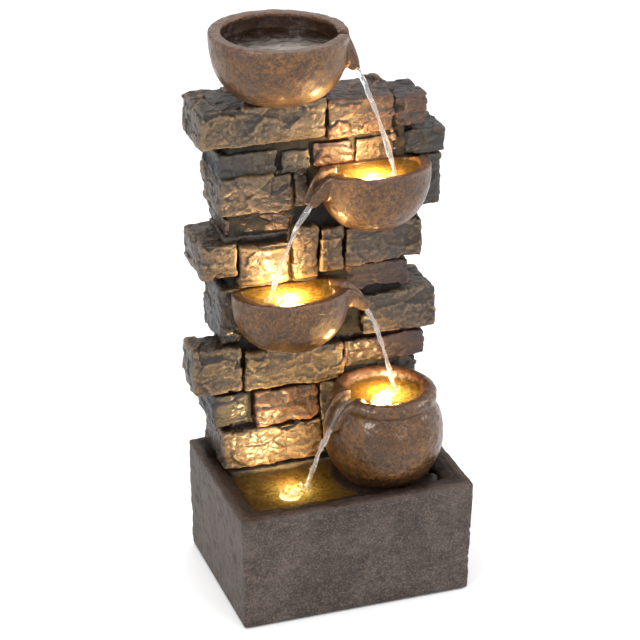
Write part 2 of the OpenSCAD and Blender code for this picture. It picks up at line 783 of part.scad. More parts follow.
module bush_front() {
    color([0.05, 0.05, 0.05]) difference() {
        rod_x(volute_x + 0.4, volute_x + face_t, pump_y, axis_z, bush_r - 0.62);
        rod_x(volute_x - 1, volute_x + face_t + 1, pump_y, axis_z, shaft_r);
    }
}

module bush_rear() {
    x0 = motor_x + well_l;
    color([0.05, 0.05, 0.05]) difference() {
        rod_x(x0, x0 + 2.5, pump_y, axis_z, bush_r - 0.02);
        rod_x(x0 - 1, x0 + 1.5, pump_y, axis_z, shaft_r);
    }
}

module impeller_shaft() {
    color([0.92, 0.92, 0.90]) rod_x(volute_x + 0.6, motor_x + well_l + 1.5, pump_y, axis_z, shaft_r);
}

module impeller() {
    vanes = 6;
    vane_x = volute_x + face_t + 1.5;
    vane_l = 6;
    magnet_x = motor_x + 1.5;
    color([0.85, 0.85, 0.88]) difference() {
        union() {
            rod_x(magnet_x, magnet_x + magnet_l, pump_y, axis_z, well_r - 0.6);
            rod_x(vane_x, magnet_x + 1, pump_y, axis_z, 3.2);
            for (i = [0 : vanes - 1])
                translate([vane_x, pump_y, axis_z]) rotate([i * 360 / vanes, 0, 0])
                    translate([0, -0.6, 0]) cube([vane_l, 1.2, impeller_r]);
        }
        rod_x(vane_x - 1, magnet_x + magnet_l + 1, pump_y, axis_z, shaft_r + run);
    }
}

// Dial that covers more or less of the intake, turned by a tab at its top
module flow_dial() {
    x0 = volute_x - 2.4;
    tab_top = pump_z + pump_h + 3;
    color([0.75, 0.75, 0.75]) difference() {
        union() {
            rod_x(x0, volute_x - 0.3, pump_y, axis_z, boss_r + 3.5);
            box([x0, pump_y - 2, axis_z], [volute_x - 0.3, pump_y + 2, tab_top]);
        }
        rod_x(x0 - 1, volute_x, pump_y, axis_z, boss_r + run);
    }
}

// Pull-off strainer over the intake, with two ears that hug the casing
grille_x = volute_x - 13;
grille_back = volute_x - 2.8;
module pump_grille() {
    skin = 1.6;
    ear = 1.3;
    z0 = pump_z + 2;
    z1 = pump_z + pump_h - 2;
    y0 = pump_y - pump_w / 2;
    y1 = pump_y + pump_w / 2;
    slots = 5;
    pitch = (y1 - y0 - 2 * skin) / slots;
    color(black_plastic) difference() {
        union() {
            box([grille_x, y0 - slack - ear, z0], [grille_back, y1 + slack + ear, z1]);
            for (y = [y0 - slack - ear, y1 + slack])
                box([grille_back - 1, y, axis_z - 5], [volute_x + 6, y + ear, axis_z + 5]);
        }
        box([grille_x + skin, y0 + skin, z0 + skin], [grille_back + 1, y1 - skin, z1 - skin]);
        for (i = [0 : slots - 1]) {
            y = y0 + skin + (i + 0.3) * pitch;
            box([grille_x - 1, y, z0 + 4], [grille_x + skin + 1, y + 0.4 * pitch, z1 - 4]);
        }
    }
}

module pump_sponge() {
    skin = 2;
    y0 = pump_y - pump_w / 2 + skin;
    y1 = pump_y + pump_w / 2 - skin;
    z0 = pump_z + 2 + skin;
    z1 = pump_z + pump_h - 2 - skin;
    color([0.20, 0.25, 0.35]) box([grille_x + skin, y0, z0], [volute_x - boss_l - 0.5, y1, z1]);
}

module suction_cups() {
    dx = motor_l - 6;
    dy = pump_w / 2 - 6;
    color([0.80, 0.85, 0.85])
        for (x = [motor_x - 6, motor_x - 6 + dx]) for (y = [-dy, dy])
            translate([x, pump_y + y, floor_z]) rotate_extrude() polygon([
                [0, 1.6], [4.4, 0], [5, 0.3], [2.2, cup_h - 2], [2.2, cup_h + 1], [0, cup_h + 1]
            ]);
}

basin();
base_pad();
tower_shell();
back_panel();
rear_cover();
cable_grommet();
bowl_top();
bowl_upper();
bowl_lower();
pot();
lamp_housing(lamps[0]);  // lamp_housing_upper
lamp_housing(lamps[1]);  // lamp_housing_lower
lamp_housing(lamps[2]);  // lamp_housing_pot
lamp_housing(lamps[3]);  // lamp_housing_basin
lamp_lens(lamps[0]);  // lamp_lens_upper
lamp_lens(lamps[1]);  // lamp_lens_lower
lamp_lens(lamps[2]);  // lamp_lens_pot
lamp_lens(lamps[3]);  // lamp_lens_basin
lamp_board(lamps[0]);  // lamp_board_upper
lamp_board(lamps[1]);  // lamp_board_lower
lamp_board(lamps[2]);  // lamp_board_pot
lamp_board(lamps[3]);  // lamp_board_basin
lamp_seal(lamps[0]);  // lamp_seal_upper
lamp_seal(lamps[1]);  // lamp_seal_lower
lamp_seal(lamps[2]);  // lamp_seal_pot
lamp_seal(lamps[3]);  // lamp_seal_basin
lead(route_upper);  // lead_upper
lead(route_lower);  // lead_lower
lead(route_pot);  // lead_pot
lead(route_basin);  // lead_basin
lead(route_pump);  // lead_pump
lead_joint();
riser_tube();
top_nozzle();
nozzle_nut();
nozzle_seal();
pump_motor();
pump_volute();
pump_grille();
pump_sponge();
flow_dial();
impeller();
impeller_shaft();
bush_front();
bush_rear();
suction_cups();
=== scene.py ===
import math
import bmesh
import bpy
import numpy as np
from mathutils import Matrix, Vector


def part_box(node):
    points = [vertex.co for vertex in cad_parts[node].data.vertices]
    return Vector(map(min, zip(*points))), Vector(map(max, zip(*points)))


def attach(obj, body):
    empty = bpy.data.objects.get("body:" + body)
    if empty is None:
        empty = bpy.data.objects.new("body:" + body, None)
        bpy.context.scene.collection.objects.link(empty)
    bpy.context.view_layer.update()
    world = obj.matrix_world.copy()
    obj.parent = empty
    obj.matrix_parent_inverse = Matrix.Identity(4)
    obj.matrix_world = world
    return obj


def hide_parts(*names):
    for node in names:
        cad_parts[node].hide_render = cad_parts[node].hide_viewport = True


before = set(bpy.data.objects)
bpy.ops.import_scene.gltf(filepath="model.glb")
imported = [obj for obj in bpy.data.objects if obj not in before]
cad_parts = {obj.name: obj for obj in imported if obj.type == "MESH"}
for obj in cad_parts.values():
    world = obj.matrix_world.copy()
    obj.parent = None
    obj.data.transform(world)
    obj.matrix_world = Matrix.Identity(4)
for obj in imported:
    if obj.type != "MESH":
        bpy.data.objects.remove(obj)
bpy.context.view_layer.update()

MM = 0.001
bpy.context.scene.view_settings.view_transform = "Standard"
bpy.context.scene.view_settings.look = "Medium High Contrast"

# ------------------------------------------------------------------ places in mm, hung on the CAD boxes
basin_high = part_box("basin")[1]
tower_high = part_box("tower_shell")[1]
RIM = basin_high.z / MM                     # the basin's rim
BACK = tower_high.y / MM                    # the tower's back
FACE = BACK - 45.8                          # the stones' nominal front face
MORTAR = FACE + 6
HOLLOW = MORTAR + 11
CORE = (-66, 60)
CORE_TOP = RIM + 256
FOOT_LEFT, FOOT_RIGHT = -68, 64             # the tower's foot, which stands in the basin
ROOF = RIM + 246
CHAMBER_TOP = RIM - 15                      # the pump chamber's ceiling
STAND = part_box("base_pad")[1].z / MM + 6.2


def top_of(node):
    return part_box(node)[1].z / MM


UPPER = (31, FACE - 12, top_of("bowl_upper"))
LOWER = (-28, FACE - 12, top_of("bowl_lower"))
TOP = (-30, FACE + 6, top_of("bowl_top"))
POT = (34, FACE - 29, top_of("pot"))

# What the bowls measure: outer radius, height, thickness of the rim, depth of the hollow
TOP_SIZE = (46, 48, 8, 30)
UPPER_SIZE = (39, 45, 8, 18)
LOWER_SIZE = (41, 44, 8, 18)
POT_HOLLOW_R = 24.6
POT_DEPTH = 18
BULGE = 2.6                                 # exponent of the bowls' curve; 2 would be an ellipse
PAST_FLOOR = 1.12                           # the hollow's curve is drawn this much deeper than its floor
FLOOR_SHARE = 0.591                         # radius of that floor, as a share of the hollow's
FLAT = 0.74                                 # a wall bowl's reach forward, as a share of its radius
NO_LIMIT = 1e3
WALL_LIMIT = MORTAR - 0.2                   # the wall bowls' outer backs end here
INNER_LIMIT = FACE + 1                      # and their inner backs here

# Where each stream lands: x, y and the height of the water there
LAND_UPPER = (40, -16, 300)
LAND_LOWER = (-46, -8, 219)
LAND_POT = (44, -13, 141)
LAND_BASIN = (-24, -23, 79.5)
TOP_LEVEL = 387
WATER_IOR = 1.33


# ------------------------------------------------------------------ camera
def make_camera():
    turn, lift, roll = math.radians(-19.65), math.radians(25.3), math.radians(0.34)
    back = Vector((math.sin(turn) * math.cos(lift), -math.cos(turn) * math.cos(lift), math.sin(lift)))
    right = Vector((math.cos(turn), math.sin(turn), 0))
    up = back.cross(right)
    right, up = right * math.cos(roll) + up * math.sin(roll), up * math.cos(roll) - right * math.sin(roll)
    data = bpy.data.cameras.new("camera")
    data.lens, data.sensor_width = 130.9, 36
    data.clip_start, data.clip_end = 0.01, 50
    cam = bpy.data.objects.new("camera", data)
    bpy.context.collection.objects.link(cam)
    place = Matrix((right, up, back)).transposed().to_4x4()
    aim, distance = Vector((-0.0071, 0, 0.195)), 1.579
    place.translation = aim + back * distance
    cam.matrix_world = place
    bpy.context.scene.camera = cam


make_camera()


# ------------------------------------------------------------------ noise on whole arrays of points
def lattice(i, j, k, seed):
    h = (i * 73856093) ^ (j * 19349663) ^ (k * 83492791) ^ (seed * 2654435761)
    h = (h ^ (h >> 13)) * 1274126177 & 0xFFFFFFFF
    h = (h ^ (h >> 16)) & 0xFFFFFF
    return h / 0x7FFFFF - 1.0


def noise(p, size, seed=0):
    q = p / size
    base = np.floor(q).astype(np.int64)
    f = q - base
    f = f * f * (3 - 2 * f)
    out = 0
    for dx in (0, 1):
        for dy in (0, 1):
            for dz in (0, 1):
                w = f[:, 0] if dx else 1 - f[:, 0]
                w = w * (f[:, 1] if dy else 1 - f[:, 1])
                w = w * (f[:, 2] if dz else 1 - f[:, 2])
                out = out + w * lattice(base[:, 0] + dx, base[:, 1] + dy, base[:, 2] + dz, seed)
    return out


def fbm(p, size, octaves=3, seed=0):
    size = np.asarray(size, float)
    total, amp = 0, 1.0
    for o in range(octaves):
        total = total + amp * noise(p, size, seed + 17 * o)
        size, amp = size / 2, amp * 0.55
    return total / 1.6


def cells(p, size, seed=0):
    """Distance to the nearest scattered point, in cells, for pits."""
    q = p / size
    base = np.floor(q).astype(np.int64)
    best = np.full(len(p), 9.0)
    for dx in (-1, 0, 1):
        for dy in (-1, 0, 1):
            for dz in (-1, 0, 1):
                c = base + (dx, dy, dz)
                h = [lattice(c[:, 0], c[:, 1], c[:, 2], seed + k) for k in (1, 2, 3)]
                off = np.stack(h, 1) * 0.5 + 0.5
                best = np.minimum(best, ((c + off - q) ** 2).sum(1))
    return np.sqrt(best)


def facets(p, size, seed=0, tilt=0.5):
    """Chipped faces: each scattered cell is a plane with its own height and tilt."""
    q = p / np.asarray(size, float)
    base = np.floor(q).astype(np.int64)
    best, height = np.full(len(p), 9.0), np.zeros(len(p))
    for dx in (-1, 0, 1):
        for dy in (-1, 0, 1):
            for dz in (-1, 0, 1):
                c = base + (dx, dy, dz)
                h = [lattice(c[:, 0], c[:, 1], c[:, 2], seed + k) for k in range(7)]
                away = q - (c + np.stack(h[:3], 1) * 0.45 + 0.5)
                d = (away ** 2).sum(1)
                plane = 0.6 * h[3] + tilt * (away * np.stack(h[4:], 1)).sum(1)
                height = np.where(d < best, plane, height)
                best = np.minimum(best, d)
    return height


# ------------------------------------------------------------------ meshes
def add_box(bm, low, high):
    made = bmesh.ops.create_cube(bm, size=1)["verts"]
    low, high = Vector(low), Vector(high)
    for v in made:
        v.co = Vector((v.co[i] + 0.5) * (high[i] - low[i]) + low[i] for i in range(3))


def object_from(name, mesh):
    ob = bpy.data.objects.new(name, mesh)
    bpy.context.collection.objects.link(ob)
    return ob


def voxelled(name, mesh, voxel):
    """mesh (millimetres) rebuilt as an even skin of quads; returns a new mesh."""
    ob = object_from("scratch", mesh)
    mod = ob.modifiers.new("remesh", "REMESH")
    mod.mode, mod.voxel_size, mod.adaptivity = "VOXEL", voxel, 0
    dg = bpy.context.evaluated_depsgraph_get()
    out = bpy.data.meshes.new_from_object(ob.evaluated_get(dg))
    out.name = name
    bpy.data.objects.remove(ob)
    return out


def boxes_mesh(boxes):
    bm = bmesh.new()
    for low, high in boxes:
        add_box(bm, low, high)
    mesh = bpy.data.meshes.new("boxes")
    bm.to_mesh(mesh)
    bm.free()
    return mesh


def cad_copy(node):
    """A copy of a CAD node's mesh in millimetres, welded."""
    bm = bmesh.new()
    bm.from_mesh(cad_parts[node].data)
    bm.transform(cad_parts[node].matrix_world)
    bm.transform(Matrix.Scale(1000, 4))
    bmesh.ops.remove_doubles(bm, verts=bm.verts, dist=0.002)
    mesh = bpy.data.meshes.new(node + "_copy")
    bm.to_mesh(mesh)
    bm.free()
    return mesh


class Skin:
    """A mesh's points as arrays, with smoothing, displacement and attributes."""

    def __init__(self, mesh):
        self.mesh = mesh
        n = len(mesh.vertices)
        self.co = np.empty(n * 3)
        mesh.vertices.foreach_get("co", self.co)
        self.co = self.co.reshape(-1, 3)
        edges = np.empty(len(mesh.edges) * 2, np.int64)
        mesh.edges.foreach_get("vertices", edges)
        self.a, self.b = edges[0::2], edges[1::2]
        self.count = np.bincount(self.a, minlength=n) + np.bincount(self.b, minlength=n)
        self.count = np.maximum(self.count, 1)

    def mean(self, values):
        n = len(self.co)
        if values.ndim == 1:
            s = np.bincount(self.a, values[self.b], n) + np.bincount(self.b, values[self.a], n)
            return s / self.count
        return np.stack([self.mean(values[:, i]) for i in range(values.shape[1])], 1)

    def smooth(self, times, share=0.6, weight=None):
        w = share if weight is None else (share * weight)[:, None]
        for _ in range(times):
            self.co = self.co + w * (self.mean(self.co) - self.co)

    def normals(self):
        self.mesh.vertices.foreach_set("co", self.co.ravel())
        self.mesh.update()
        out = np.empty(len(self.co) * 3)
        self.mesh.vertices.foreach_get("normal", out)
        return out.reshape(-1, 3)

    def push(self, amount):
        self.co = self.co + self.normals() * amount[:, None]

    def convex(self, blur=1):
        """How far each point stands out of its neighbours, about -1 to 1."""
        c = -((self.mean(self.co) - self.co) * self.normals()).sum(1)
        for _ in range(blur):
            c = 0.5 * c + 0.5 * self.mean(c)
        return np.clip(c / (np.abs(c).mean() * 3 + 1e-9), -1, 1)

    def attribute(self, name, values):
        if values.ndim == 1:
            made = self.mesh.attributes.new(name, "FLOAT", "POINT")
            made.data.foreach_set("value", values.astype(np.float32))
        else:
            rgba = np.ones((len(values), 4), np.float32)
            rgba[:, :3] = values
            made = self.mesh.attributes.new(name, "FLOAT_COLOR", "POINT")
            made.data.foreach_set("color", rgba.ravel())

    def piece(self, name, material, slot, body="root", replaces=()):
        self.co *= MM
        self.normals()
        ob = object_from(name, self.mesh)
        self.mesh.materials.clear()
        self.mesh.materials.append(material)
        self.mesh.shade_smooth()
        if replaces:
            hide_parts(*replaces)
        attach(ob, body)
        return ob


# ------------------------------------------------------------------ materials
def rgb(h):
    """A round sRGB colour as linear values."""
    c = [int(h[i:i + 2], 16) / 255 for i in (0, 2, 4)]
    return tuple(x / 12.92 if x <= 0.04045 else ((x + 0.055) / 1.055) ** 2.4 for x in c)


class Mat:
    """A small helper for building a node material."""

    def __init__(self, name):
        self.material = bpy.data.materials.new(name)
        self.material.use_nodes = True
        self.tree = self.material.node_tree
        self.bsdf = self.tree.nodes["Principled BSDF"]
        self.coords = self.node("ShaderNodeTexCoord").outputs["Object"]

    def node(self, kind, **values):
        n = self.tree.nodes.new(kind)
        for k, v in values.items():
            setattr(n, k, v)
        return n

    def link(self, a, b):
        self.tree.links.new(a, b)

    def put(self, socket, value):
        if hasattr(value, "is_output"):
            self.link(value, socket)
        elif socket.type == "RGBA" and len(value) == 3:
            socket.default_value = (*value, 1)
        else:
            socket.default_value = value

    def stretched(self, factors):
        n = self.node("ShaderNodeMapping")
        self.link(self.coords, n.inputs["Vector"])
        n.inputs["Scale"].default_value = factors
        return n.outputs["Vector"]

    def noise(self, size_mm, detail=4, rough=0.55, warp=0.0, stretch=None):
        n = self.node("ShaderNodeTexNoise")
        self.link(self.stretched(stretch) if stretch else self.coords, n.inputs["Vector"])
        n.inputs["Scale"].default_value = 1000 / size_mm
        n.inputs["Detail"].default_value = detail
        n.inputs["Roughness"].default_value = rough
        n.inputs["Distortion"].default_value = warp
        return n.outputs["Fac"]

    def ramp(self, value, *stops):
        n = self.node("ShaderNodeValToRGB")
        self.link(value, n.inputs["Fac"])
        while len(n.color_ramp.elements) < len(stops):
            n.color_ramp.elements.new(0.5)
        for e, (at, c) in zip(n.color_ramp.elements, stops):
            e.position = at
            e.color = (*c, 1) if not isinstance(c, (int, float)) else (c, c, c, 1)
        return n.outputs["Color"]

    def mix(self, fac, a, b, blend="MIX"):
        n = self.node("ShaderNodeMix", data_type="RGBA", blend_type=blend)
        self.put(n.inputs[0], fac)
        self.put(n.inputs[6], a)
        self.put(n.inputs[7], b)
        return n.outputs[2]

    def math(self, op, a, b=0.0, clamp=False):
        n = self.node("ShaderNodeMath", operation=op, use_clamp=clamp)
        self.put(n.inputs[0], a)
        self.put(n.inputs[1], b)
        return n.outputs[0]

    def attribute(self, name, output="Fac"):
        return self.node("ShaderNodeAttribute", attribute_name=name).outputs[output]

    def bump(self, height, depth_mm, before=None):
        n = self.node("ShaderNodeBump")
        self.put(n.inputs["Height"], height)
        n.inputs["Strength"].default_value = 1
        n.inputs["Distance"].default_value = depth_mm * MM
        if before is not None:
            self.link(before, n.inputs["Normal"])
        return n.outputs["Normal"]

    def set(self, **values):
        for k, v in values.items():
            self.put(self.bsdf.inputs[k.replace("_", " ").title() if k != "ior" else "IOR"], v)
        return self.material


def stone_material():
    m = Mat("cast_stone")
    tint = m.attribute("tint", "Color")
    light = m.attribute("light", "Color")
    high = m.attribute("high")
    blotch = m.noise(15, 5, 0.6, 0.4)
    crumple = m.noise(5.0, 6, 0.66, 0.5, stretch=(1, 1, 1.8))
    fine = m.noise(1.1, 5, 0.7, 0.2)
    dark = m.mix(m.ramp(blotch, (0.35, 0.0), (0.62, 1.0)), m.mix(0.5, tint, (0.010, 0.008, 0.007)), tint)
    brushed = m.math("ADD", high, m.math("MULTIPLY", m.math("SUBTRACT", crumple, 0.5), 0.9))
    brushed = m.math("ADD", brushed, m.math("MULTIPLY", m.math("SUBTRACT", fine, 0.5), 1.1))
    brushed = m.math("ADD", brushed, m.math("MULTIPLY", m.math("SUBTRACT", blotch, 0.5), 0.5))
    colour = m.mix(m.ramp(brushed, (0.27, 0.0), (0.80, 1.0)), dark, light)
    bump = m.bump(crumple, 1.3)
    bump = m.bump(fine, 0.45, bump)
    m.bsdf.inputs["Specular IOR Level"].default_value = 0.7
    m.bsdf.inputs["Coat Weight"].default_value = 0.22
    m.bsdf.inputs["Coat Roughness"].default_value = 0.22
    return m.set(base_color=colour, roughness=m.ramp(fine, (0.3, 0.30), (0.7, 0.5)), normal=bump)


def mortar_material(name="mortar", base="16120e", light="40352a"):
    m = Mat(name)
    blotch = m.noise(14, 5, 0.6)
    fine = m.noise(1.8, 5, 0.65)
    high = m.attribute("high")
    colour = m.mix(m.ramp(blotch, (0.35, 0.0), (0.7, 1.0)), rgb(base), tuple(0.55 * c for c in rgb(base)))
    brushed = m.math("ADD", high, m.math("SUBTRACT", fine, 0.5))
    colour = m.mix(m.ramp(brushed, (0.35, 0.0), (0.9, 0.8)), colour, rgb(light))
    bump = m.bump(blotch, 1.0)
    bump = m.bump(fine, 0.55, bump)
    return m.set(base_color=colour, roughness=m.ramp(fine, (0.3, 0.6), (0.7, 0.85)), normal=bump)


def bowl_material():
    m = Mat("aged_copper_glaze")
    rim = m.attribute("rim")
    wet = m.attribute("wet")
    broad = m.noise(24, 4, 0.55, 0.6)
    mottle = m.noise(3.0, 6, 0.7, 0.4)
    speck = m.noise(0.95, 5, 0.72)
    copper = m.mix(m.ramp(broad, (0.33, 0.0), (0.66, 1.0)), rgb("4c2f16"), rgb("7e5421"))
    colour = m.mix(m.ramp(mottle, (0.40, 0.0), (0.62, 1.0)), rgb("33231a"), copper)
    colour = m.mix(m.ramp(speck, (0.50, 0.0), (0.70, 0.6)), colour, rgb("8c6a40"))
    colour = m.mix(m.ramp(speck, (0.30, 0.8), (0.43, 0.0)), colour, rgb("1c120c"))
    worn = m.mix(m.ramp(mottle, (0.35, 0.0), (0.6, 1.0)), rgb("40291b"), rgb("6f5340"))
    colour = m.mix(rim, colour, worn)
    colour = m.mix(wet, colour, rgb("2a190d"))
    bump = m.bump(mottle, 0.55)
    bump = m.bump(speck, 0.25, bump)
    m.bsdf.inputs["Coat Weight"].default_value = 0.38
    m.bsdf.inputs["Coat Roughness"].default_value = 0.18
    rough = m.ramp(speck, (0.3, 0.26), (0.7, 0.44))
    return m.set(base_color=colour, metallic=0.2, roughness=rough, normal=bump)


def cement_material():
    m = Mat("pitted_cement")
    rim = m.attribute("rim")
    wet = m.attribute("wet")
    broad = m.noise(38, 5, 0.6, 0.5)
    mid = m.noise(8, 6, 0.66, 0.5)
    streak = m.noise(5, 4, 0.6, 0.5, stretch=(0.35, 0.35, 1.2))
    fine = m.noise(1.4, 5, 0.7)
    colour = m.mix(m.ramp(broad, (0.3, 0.0), (0.7, 1.0)), rgb("332a25"), rgb("5d514a"))
    colour = m.mix(m.ramp(mid, (0.35, 0.0), (0.65, 1.0)), m.mix(0.7, colour, rgb("271c16")), colour)
    colour = m.mix(m.ramp(streak, (0.50, 0.0), (0.75, 0.3)), colour, rgb("71645d"))
    colour = m.mix(m.ramp(fine, (0.50, 0.0), (0.66, 0.6)), colour, rgb("7d6f66"))
    colour = m.mix(m.ramp(fine, (0.32, 0.85), (0.46, 0.0)), colour, rgb("1f1814"))
    colour = m.mix(m.math("MULTIPLY", rim, m.ramp(mid, (0.35, 0.2), (0.6, 0.8))), colour, rgb("47352b"))
    colour = m.mix(wet, colour, m.mix(mid, rgb("140e0a"), rgb("3a281c")))
    bump = m.bump(mid, 1.7)
    bump = m.bump(streak, 0.5, bump)
    bump = m.bump(fine, 0.5, bump)
    return m.set(base_color=colour, roughness=m.ramp(fine, (0.3, 0.42), (0.7, 0.65)), normal=bump)


def plain_material(name, a, b, rough, scale=3.0, depth=0.06, **more):
    m = Mat(name)
    n = m.noise(scale, 4, 0.6)
    colour = m.mix(m.ramp(n, (0.3, 0.0), (0.7, 1.0)), a, b)
    return m.set(base_color=colour, roughness=m.ramp(n, (0.3, rough), (0.7, rough + 0.1)),
                 normal=m.bump(n, depth), **more)


def water_material(name, strength, lit="8a5c18"):
    m = Mat(name)
    # painted light: a falloff stored on the water around its lamp, used for a painted pool of lamp light
    painted_light = m.attribute("painted_light")
    n = m.noise(6, 4, 0.6, 1.4)
    # painted light: the base colour turns golden towards the lamp
    colour = m.mix(painted_light, rgb("2e2014"), rgb(lit))
    # painted glow: emission streaked by noise around the lamp; the water itself gives no light
    painted_light_streaks = m.math("MULTIPLY", painted_light, m.ramp(n, (0.35, 0.45), (0.6, 1.0)))
    light = m.ramp(painted_light_streaks, (0.0, (0, 0, 0)), (0.2, (0.17, 0.095, 0.012)), (0.55, (0.70, 0.44, 0.08)),
                   (0.74, (1.0, 0.80, 0.36)), (0.88, (1.0, 0.96, 0.82)))
    m.put(m.bsdf.inputs["Emission Color"], light)
    m.bsdf.inputs["Emission Strength"].default_value = strength
    m.bsdf.inputs["IOR"].default_value = WATER_IOR
    alpha = m.ramp(painted_light, (0.0, 0.6), (0.3, 0.85), (0.75, 1.0))
    return m.set(base_color=colour, roughness=0.03, alpha=alpha, normal=m.bump(n, 0.3))


def stream_material():
    m = Mat("falling_water")
    n = m.noise(3, 4, 0.6, 0.8, stretch=(1, 1, 0.35))
    m.bsdf.inputs["IOR"].default_value = WATER_IOR
    m.bsdf.inputs["Transmission Weight"].default_value = 0.92
    # painted sheen: a faint white emission brightens the falling water, which gives no light of its own
    m.put(m.bsdf.inputs["Emission Color"], (1.0, 0.96, 0.9))
    m.bsdf.inputs["Emission Strength"].default_value = 0.03
    return m.set(base_color=(0.95, 0.97, 1.0), roughness=0.05, normal=m.bump(n, 0.5))


STONE = stone_material()
MORTAR_MAT = mortar_material()
BACK_MAT = mortar_material("back_stone", "2c2724", "5c5248")
BOWL = bowl_material()
CEMENT = cement_material()

# ------------------------------------------------------------------ stones
TINTS = {                                   # base colour and dry-brushed colour
    "tan": ("261a11", "6b563c"), "warm": ("291c10", "755c37"), "rust": ("25130b", "704825"),
    "red": ("1e0e0a", "482519"), "dark": ("16100c", "433528"), "black": ("0b0909", "27211f"),
}
STONES = [                                  # left, right, proud, bottom, top, set-in at the back, tint
    (-85, 1, 0, 237, 264, 2, "tan"), (3, 50, -2, 234, 262, 6, "rust"), (52, 74, -6, 235, 257, 8, "red"),
    (-73, -32, -4, 214, 231, 5, "black"), (-30, -9, -3, 215, 230, 0, "black"),
    (-7, 20, -3, 216, 232, 4, "red"),
    (22, 51, -3, 213, 232, 4, "tan"), (56, 90, -8, 214, 231, 4, "black"), (-73, -22, 0, 188, 215, 3, "tan"),
    (-20, -10, -4, 188, 215, 0, "dark"), (48, 88, -10, 174, 212, 3, "dark"),
    (-69, -22, -6, 173, 186, 2, "red"),
    (-69, -22, -5, 167, 172, 4, "dark"), (-86, -60, 0, 144, 169, 1, "tan"),
    (-60, -24, 1, 136, 166, 0, "warm"),
    (-22, -4, 2, 134, 175, 0, "warm"), (-3, 14, 2, 141, 172, 0, "warm"), (16, 73, -2, 141, 168, 2, "tan"),
    (18, 63, -4, 121, 139, 5, "red"), (-73, -59, -2, 95, 135, 4, "dark"), (28, 83, 0, 87, 117, 5, "tan"),
    (-94, -60, 2, 60, 94, 24, "tan"), (-57, 14, 2, 58, 86, 0, "warm"), (16, 76, -2, 65, 84, 4, "red"),
    (-80, -54, -2, 32, 57, 3, "black"), (-50, -3, 0, 29, 55, 0, "rust"), (-1, 17, -2, 22, 56, 0, "dark"),
    (18, 71, -6, 46, 63, 3, "dark"), (-73, -1, 0, -2, 27, 2, "tan"),
]


def clear_of_bowls(co, gap=0.8):
    """Stones stay behind the wall bowls' inner backs."""
    for (cx, cy, cz), (r, h, _, _) in ((UPPER, UPPER_SIZE), (LOWER, LOWER_SIZE)):
        d = np.clip((cz - co[:, 2]) / h, 0, 1)
        reach = r * (1 - d ** BULGE) ** (1 / BULGE) - 0.5
        inside = (co[:, 2] < cz + 0.5) & (co[:, 2] > cz - h)
        inside &= ((co[:, 0] - cx) ** 2 + ((co[:, 1] - cy) / FLAT) ** 2) < reach ** 2
        co[:, 1] = np.where(inside, np.maximum(co[:, 1], INNER_LIMIT + gap), co[:, 1])


def make_stone(index, row):
    x0, x1, proud, z0, z1, set_in, tint = row
    z0, z1 = z0 + RIM, z1 + RIM
    front, back = FACE - proud, BACK - set_in
    rows = [((x0, front, z0), (x1, MORTAR + 5, z1))]
    if x0 < CORE[0]:
        rows.append(((x0, front, z0), (CORE[0] + 5, back, z1)))
    if x1 > CORE[1]:
        rows.append(((CORE[1] - 5, front, z0), (x1, back, z1)))
    if z1 > CORE_TOP:
        rows.append(((x0, front, ROOF + 2), (x1, back, z1)))
    s = Skin(voxelled("stone", boxes_mesh(rows), 0.95))
    seed = 101 + 37 * index
    shift = np.array([13.0 * index, 7.0 * index, 5.0 * index])
    s.smooth(7, 0.7)
    p = s.co + shift
    warp = np.stack([fbm(p, 26, 2, seed), fbm(p, 22, 2, seed + 1), 0.8 * fbm(p, 24, 2, seed + 2)], 1)
    s.co = s.co + 1.9 * warp
    p = s.co + shift
    bend = p + 2.2 * np.stack([fbm(p, 8, 2, seed + 9), fbm(p, 8, 2, seed + 10), fbm(p, 8, 2, seed + 11)], 1)
    split = facets(bend, (21, 21, 11), seed + 3, 0.8)                    # broken faces along the bed
    chips = facets(bend, (8, 8, 5), seed + 4, 0.8)
    layers = fbm(bend, (28, 28, 3.8), 2, seed + 5)
    fine = fbm(p, 2.4, 3, seed + 6)
    s.push(1.35 * split + 0.45 * chips + 0.5 * layers + 0.4 * fine)
    clear_of_bowls(s.co)
    high = s.convex(2)
    base, light = (np.array(rgb(c)) for c in TINTS[tint])
    vary = 1 + 0.16 * fbm(p, 20, 2, seed + 8)
    s.attribute("tint", base[None] * vary[:, None])
    s.attribute("light", light[None] * vary[:, None])
    s.attribute("high", 0.33 + 0.50 * high + 0.07 * split)
    s.piece("stone_%02d" % (index + 1), STONE, "stacked_stone")


